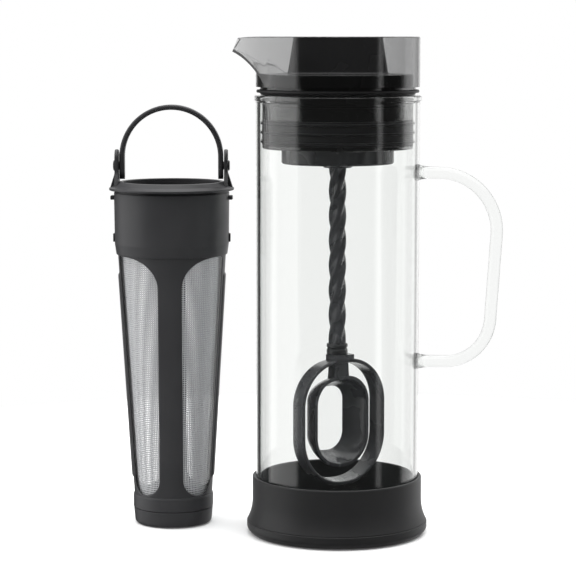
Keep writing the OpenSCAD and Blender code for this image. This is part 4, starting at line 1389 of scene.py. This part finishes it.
    def pad(self, side: int) -> Sheet:
        """Carry a slim raised pad up a side rib; it thins out over its last 1.5 mm.

        Args:
            side: 1 or -1, the rib that it lies on.

        Returns:
            The pad.
        """
        low, high = self.foot_z + 9.5, self.band_z - 11.0
        z = np.linspace(low, high, 90)
        rise = self.pad_rise * np.sqrt(np.clip(np.minimum(z - low, high - z) / 1.5, 0, 1))
        half = self.pad_half
        y = np.concatenate([np.linspace(-half, half, 14), np.linspace(half, -half, 14)])
        skin = np.concatenate([np.ones(14), np.zeros(14)])
        skin[[0, 13]] = 0.45
        radius = self.cone_r(z)[:, None] - 0.35 + skin[None] * (0.35 + rise[:, None])
        x = np.sqrt(radius ** 2 - y[None] ** 2) * side
        points = np.stack([x, np.repeat(y[None], len(z), 0), np.repeat(z[:, None], 28, 1)], -1)
        return Sheet(points, capped=True)

    def stub(self, side: int, low: float, high: float, reach: float, half: float) -> Sheet:
        """Make a short curved block that stands out of the band.

        Args:
            side: 1 or -1, the end of the band that it stands on.
            low: Height of its underside.
            high: Height of its top.
            reach: How far it stands out.
            half: Half its angle in degrees.

        Returns:
            The block.
        """
        t = np.radians(np.linspace(-half, half, 14))
        section = fillet([(self.top_r - 0.8, low, 0.1), (self.top_r + reach, low, 0.4),
                          (self.top_r + reach, high, 0.4), (self.top_r - 0.8, high, 0.1)],
                         steps=3)
        x = section[None, :, 0] * np.cos(t)[:, None] * side
        y = section[None, :, 0] * np.sin(t)[:, None] * side
        z = np.repeat(section[None, :, 1], len(t), 0)
        return Sheet(np.stack([x, y, z], -1), capped=True)

    def mesh_cone(self) -> Sheet:
        """Wrap the mesh just inside the frame; its threads follow the wall.

        Returns:
            The mesh, with a u that holds the same number of threads at every height.
        """
        z = np.linspace(self.ledge_z + 0.2, self.band_z + 0.4, 30)
        t = np.linspace(0, FULL_TURN, self.cloth_steps, endpoint=False)
        r = (self.cone_r(z) - self.wall - 0.25)[:, None]
        points = np.stack([r * np.cos(t), r * np.sin(t), z[:, None] + 0 * t], -1)
        around = np.linspace(0, FULL_TURN * self.cloth_r, self.cloth_steps + 1)
        return Sheet(points, u_mm=around, v_mm=z)

    def flange(self) -> Sheet:
        """Revolve the ring: a spigot in the frame, a flange and a raised mouth.

        Returns:
            The ring without its ears.
        """
        z, mouth = self.flange_z, self.mouth_r
        spigot = self.top_r - self.wall - 0.2
        foot = self.top_z - self.spigot_h
        return revolve(fillet([
            (spigot - 1.5, foot, 0.3), (spigot, foot, 0.3), (spigot, z, 0.2),
            (self.top_r + 2.8, z, 0.5), (self.top_r + 2.8, z + 1.3, 0.5),
            (self.top_r - 0.6, z + 2.8, 1.2), (mouth + 2.3, z + 5.0, 0.7), (mouth, z + 5.0, 0.6),
            (mouth, z + 1, 0.4), (spigot - 1.5, z - 0.8, 0.5)], steps=6), 192)

    def ear(self, side: int) -> list[Sheet]:
        """Make an ear with its hole, and the buttress that props it from outside.

        The plate is a closed stack of six rings: hole, near face, near edge, far edge, far face
        and hole again.

        Args:
            side: 1 or -1, the side of the ring that it stands on.

        Returns:
            The plate and its buttress.
        """
        inside, thick = self.ear_in, self.ear_t
        base, top_r = self.flange_z + 2.0, self.ear_half
        top_z = self.pivot_z + self.ear_rise
        outline = fillet([(-10.5, base, 0), (10.5, base, 0), (8.8, base + 3.6, 3),
                          (top_r, self.pivot_z - 4, 6), (top_r, top_z, 5.9),
                          (-top_r, top_z, 5.9), (-top_r, self.pivot_z - 4, 6),
                          (-8.8, base + 3.6, 3)], steps=12)
        centre = np.array([0, self.pivot_z])
        angle = np.arctan2(*(outline - centre).T[::-1])
        hole = centre + self.hole_r * np.stack([np.cos(angle), np.sin(angle)], -1)
        shrink = centre + (outline - centre) * 0.955
        stack = [(hole, 0.0), (shrink, 0.0), (outline, 0.45), (outline, thick - 0.45),
                 (shrink, thick), (hole, thick)]
        loops = [np.stack([np.full(len(p), side * (inside + x)), p[:, 0] * side, p[:, 1]], -1)
                 for p, x in stack]
        plate = Sheet(np.array(loops), closed_rows=True)
        low, high = self.flange_z + 0.6, self.pivot_z - 3.9
        rib = fillet([(inside + 0.5, low, 0.2), (36.5, low, 0.3), (36.1, low + 1.4, 1),
                      (inside + thick, high, 1.5), (inside + 0.5, high, 0.1)], steps=5)
        y = np.array([-2.6, -2.2, 2.2, 2.6])
        slim = np.array([0.93, 1, 1, 0.93])
        middle = rib.mean(0)
        prop = np.stack([np.column_stack([(middle[0] + (rib[:, 0] - middle[0]) * s) * side,
                                          np.full(len(rib), yy * side),
                                          middle[1] + (rib[:, 1] - middle[1]) * s])
                         for yy, s in zip(y, slim)])
        return [plate, Sheet(prop, capped=True)]

    def bail(self) -> list[Sheet]:
        """Carry a flat strap up, over a half circle and down, and add its two pegs.

        The strap's depth falls to nothing as the half circle sqrt(s (2r - s)) at its ends.

        Returns:
            The strap and its pegs.
        """
        half_t, half_depth = self.strap_t / 2, self.strap_half
        mid_r = self.bail_r - half_t
        arch_z, low = self.bail_top - self.bail_r, self.pivot_z - 8.0
        count = 40
        rise = np.linspace(0, 1, count) ** 1.5
        up = np.stack([np.full(count, mid_r), low + (arch_z - low) * rise], -1)
        t = np.linspace(0, math.pi, 97)[1:-1]
        over = np.stack([mid_r * np.cos(t), arch_z + mid_r * np.sin(t)], -1)
        path = np.concatenate([up, over, up[::-1] * [-1, 1]])
        from_end = np.clip(path[:, 1] - low, 0.02, half_depth)
        deep = np.sqrt(from_end * (2 * half_depth - from_end))
        deep[count:-count] = half_depth
        soft = fillet([(-half_t, -half_depth, 1.3), (half_t, -half_depth, 1.3),
                       (half_t, half_depth, 1.3), (-half_t, half_depth, 1.3)], steps=6)
        section = np.stack([np.repeat(soft[None, :, 0], len(path), 0),
                            soft[None, :, 1] / half_depth * deep[:, None]], -1)
        sheets = [carried(path, section)]
        peg = fillet([(0, 30.1, 0), (2.4, 30.1, 0), (2.4, 33.6, 0.1), (3.1, 33.6, 0.15),
                      (3.0, 34.2, 0.3), (2.2, 34.5, 0.3), (0, 34.5, 0)], steps=4, closed=False)
        for side in (1, -1):
            pin = revolve(peg, 48, axis="x", along=side)
            sheets.append(replace(pin, points=pin.points + [0, 0, self.pivot_z]))
        return sheets

    def cap(self) -> Sheet:
        """Revolve the cap that closes the bottom."""
        bore, top, floor = self.cap_bore_r, self.cap_top_z, self.cap_floor_z
        return revolve(fillet([
            (0, 0, 0), (self.cap_r - 0.9, 0, 2.4), (self.cap_r, top, 0.4), (bore, top, 0.3),
            (bore, floor, 0.4), (0, floor, 0)], steps=7, closed=False), 160)

    def pieces(self) -> list[Piece]:
        """Give the frame in two pieces, the mesh, the ring, the bail and the cap.

        Returns:
            The six pieces.
        """
        plain = [self.band(), self.foot()]
        for side in (1, -1):
            plain.append(self.pad(side))
            for base, (low, high, *size) in ((self.top_z, self.lug), (self.band_z, self.key)):
                plain.append(self.stub(side, base + low, base + high, *size))
        ring = [self.flange(), *self.ear(1), *self.ear(-1)]
        return [
            Piece("moulded_frame", self.placed(plain), BASKET_PP, Body.BASKET, Slot.BASKET,
                  ("basket_frame",)),
            Piece("windowed_cage", self.placed(self.cage()), BASKET_PP, Body.BASKET,
                  Slot.BASKET, weld=True, crease=50),
            Piece("mesh_cone", self.placed([self.mesh_cone()]), MESH, Body.BASKET, Slot.MESH,
                  ("mesh_sleeve",), open_skin=True),
            Piece("flanged_ring", self.placed(ring), BASKET_PP, Body.BASKET, Slot.BASKET,
                  ("basket_ring",)),
            Piece("arched_bail", self.placed(self.bail()), BASKET_PP, Body.BAIL, Slot.BASKET,
                  ("basket_bail",)),
            Piece("screw_cap", self.placed([self.cap()]), BASKET_PP, Body.CAP, Slot.BASKET,
                  ("bottom_cap",)),
        ]

    def dressed(self) -> dict[str, Finish]:
        """Give the finish of the two seals."""
        return {"ring_seal": SILICONE_SEAL, "cap_seal": SILICONE_SEAL}


# ---------------------------------------------------------------------------------------------
# Studio
# ---------------------------------------------------------------------------------------------


@dataclass(frozen=True)
class Softbox:
    """A patch of directions that gives light, with soft edges.

    Attributes:
        right: Azimuth of its right edge, in degrees to the left of the camera.
        left: Azimuth of its left edge.
        soft: Width of its soft sides in degrees.
        foot: Sine of its lowest height.
        head: Sine of its greatest height.
        strength: Its strength, where 1 is white.
        fade: Width of its soft foot and head, as a sine.
    """

    right: float
    left: float
    soft: float
    foot: float
    head: float
    strength: float
    fade: float = 0.12

    def lay_out(self, tree: bpy.types.NodeTree, azimuth: bpy.types.Node,
                height: bpy.types.NodeSocket) -> bpy.types.Node:
        """Let its strength rise by a smooth step at each of its four edges, one on another.

        Args:
            tree: The room's node tree.
            azimuth: Azimuth of the direction, in radians to the left of the camera.
            height: Sine of its height.

        Returns:
            The light that it gives in that direction.
        """
        light: Optional[bpy.types.Node] = None
        for value, start, end in (
                (azimuth, math.radians(self.right), math.radians(self.right + self.soft)),
                (azimuth, math.radians(self.left), math.radians(self.left - self.soft)),
                (height, self.foot, self.foot + self.fade),
                (height, self.head, self.head - self.fade)):
            light = add_node(tree, "MapRange", {
                "From Min": start, "From Max": end, "To Max": self.strength,
                "interpolation_type": "SMOOTHSTEP",
            }, {"Value": value, **({"To Max": light} if light else {})})
        return light


@dataclass(frozen=True)
class Studio:
    """White table and backdrop, soft light from above and the left, and the camera.

    Attributes:
        camera_at: Place of the camera in metres.
        heading: Horizontal angle of its view, from +Y towards -X, in degrees.
        pitch: How far it looks down, in degrees.
        lens_mm: Focal length on a 36 mm frame.
        table_r: Radius of the table in metres.
        glow: Light that the table adds where the camera sees it, so that its paint is white.
        boxes: Large softbox on the left, narrow strip on the right, soft light behind it.
        behind: The lit wall behind the object, which only reflections show; its direction is
            cut in two, because the azimuth jumps there.
        overhead: Strength of the light above.
        fill: Even light on matt surfaces.
        spread: How much stronger the lights are on matt surfaces than in a reflection.
        dim_side: What shiny surfaces see of the dark side of the room.
    """

    camera_at: tuple[float, float, float] = (0.3130, -1.2363, 0.290)
    heading: float = 15.5
    pitch: float = 6.52
    lens_mm: float = 137.5
    table_r: float = 0.5
    glow: float = 0.06
    boxes: tuple[Softbox, ...] = (
        Softbox(56, 132, 9, -0.35, 0.75, 1.1), Softbox(-67, -55, 4, -0.3, 0.7, 0.8),
        Softbox(-152, -100, 12, -0.35, 0.75, 0.9))
    behind: tuple[Softbox, ...] = (
        Softbox(158, 190, 8, -1.2, 1.2, 1.0), Softbox(-190, -146, 10, -1.2, 1.2, 1.0))
    overhead: float = 1.6
    fill: float = 0.22
    spread: float = 1.9
    dim_side: float = 0.05

    def camera(self) -> None:
        """Set the camera where the photograph was taken from."""
        lens = bpy.data.cameras.new("studio_camera")
        lens.lens, lens.sensor_width, lens.sensor_fit = self.lens_mm, 36.0, "HORIZONTAL"
        lens.clip_start, lens.clip_end = 0.01, 30.0
        made = bpy.data.objects.new("studio_camera", lens)
        made.location = self.camera_at
        a, p = math.radians(self.heading), math.radians(self.pitch)
        ahead = Vector((-math.sin(a) * math.cos(p), math.cos(a) * math.cos(p), -math.sin(p)))
        made.rotation_euler = ahead.to_track_quat("-Z", "Y").to_euler()
        bpy.context.scene.collection.objects.link(made)
        bpy.context.scene.camera = made

    def table(self) -> None:
        """Lay a white table that keeps the soft shadow; gloss sees the room in its place."""
        corners, sink = 64, 0.0001
        t = np.linspace(0, FULL_TURN, corners, endpoint=False)
        ring = np.stack([self.table_r * np.cos(t), self.table_r * np.sin(t), 0 * t - sink], -1)
        mesh = bpy.data.meshes.new("white_table")
        mesh.from_pydata(ring.tolist(), [], [list(range(corners))])
        material = bpy.data.materials.new("white_table_paint")
        material.use_nodes = True
        tree = material.node_tree
        tree.nodes.clear()
        path = add_node(tree, "LightPath")
        seen = add_node(tree, "Math", {"operation": "MAXIMUM"}, {
            0: path.outputs["Is Camera Ray"], 1: path.outputs["Is Transmission Ray"]})
        paint = add_node(tree, "BsdfDiffuse", {"Color": colour("#F2F2F2")})
        strength = add_node(tree, "Math", {"operation": "MULTIPLY", 1: self.glow},
                            {0: seen})
        glow = add_node(tree, "Emission", {"Color": (1.0, 1.0, 1.0, 1.0)},
                        {"Strength": strength})
        both = add_node(tree, "AddShader", links={0: paint, 1: glow})
        deep = add_node(tree, "Math", {"operation": "GREATER_THAN", 1: 0.5},
                        {0: path.outputs["Glossy Depth"]})
        mirrored = add_node(tree, "Math", {"operation": "MAXIMUM"},
                            {0: path.outputs["Is Glossy Ray"], 1: deep})
        room = add_node(tree, "BsdfTransparent")
        mix = add_node(tree, "MixShader", links={0: mirrored, 1: both, 2: room})
        add_node(tree, "OutputMaterial", links={"Surface": mix})
        mesh.materials.append(material)
        made = bpy.data.objects.new("white_table", mesh)
        bpy.context.scene.collection.objects.link(made)

    def light(self) -> None:
        """Light the room with the world: backdrop, softboxes and top light.

        The camera, and rays that pass straight through glass, see white. Matt surfaces get the
        softboxes and the fill. Reflections show the softboxes, the wall behind and the dim side.
        """
        world = bpy.data.worlds.new("studio_room")
        bpy.context.scene.world = world
        world.use_nodes = True
        tree = world.node_tree
        tree.nodes.clear()
        place = add_node(tree, "TexCoord").outputs["Generated"]
        facing = add_node(tree, "Mapping", {"Rotation": (0.0, 0.0, math.radians(-self.heading))},
                          {"Vector": place})
        parts = add_node(tree, "SeparateXYZ", links={"Vector": facing})
        back = add_node(tree, "Math", {"operation": "MULTIPLY", 1: -1.0},
                        {0: parts.outputs["Y"]})
        side = add_node(tree, "Math", {"operation": "MULTIPLY", 1: -1.0},
                        {0: parts.outputs["X"]})
        azimuth = add_node(tree, "Math", {"operation": "ARCTAN2"},
                           {0: side, 1: back})
        height = parts.outputs["Z"]
        overhead = add_node(tree, "MapRange", {
            "From Min": 0.5, "From Max": 0.95, "To Max": self.overhead,
            "interpolation_type": "SMOOTHSTEP"}, {"Value": height})
        sums = [overhead]
        for box in (*self.boxes, *self.behind):
            sums.append(add_node(tree, "Math", {"operation": "ADD"}, {
                0: sums[-1], 1: box.lay_out(tree, azimuth, height)}))
        shiny = add_node(tree, "Math", {"operation": "ADD", 1: self.dim_side}, {0: sums[-1]})
        soft = add_node(tree, "Math", {"operation": "MULTIPLY_ADD", 1: self.spread,
                                       2: self.fill}, {0: sums[len(self.boxes)]})
        path = add_node(tree, "LightPath")
        straight = add_node(tree, "Math", {"operation": "LESS_THAN", 1: 0.5},
                            {0: path.outputs["Glossy Depth"]})
        through = add_node(tree, "Math", {"operation": "MULTIPLY"}, {
            0: path.outputs["Is Transmission Ray"], 1: straight})
        seen = add_node(tree, "Math", {"operation": "MAXIMUM"}, {
            0: path.outputs["Is Camera Ray"], 1: through})
        bounced = add_node(tree, "Math", {"operation": "MAXIMUM"}, {
            0: path.outputs["Is Glossy Ray"], 1: path.outputs["Is Transmission Ray"]})
        room = add_node(tree, "Mix", {"data_type": "FLOAT"}, {
            "Factor": bounced, "A": soft, "B": shiny})
        strength = add_node(tree, "Mix", {"data_type": "FLOAT", "B": 1.0}, {
            "Factor": seen, "A": room})
        background = add_node(tree, "Background", {"Color": (1.0, 1.0, 1.0, 1.0)},
                              {"Strength": strength})
        add_node(tree, "OutputWorld", links={"Surface": background})

    def build(self) -> None:
        """Set the stage."""
        self.camera()
        self.table()
        self.light()
        bpy.context.scene.view_settings.view_transform = "Standard"
        log.info("studio set")


def main() -> None:
    """Build the coffee maker and its studio in order."""
    Studio().build()
    for assembly in (Carafe(), Lid(), Stopper(), Wand(), Basket()):
        assembly.build()


if __name__ == "__main__":
    main()
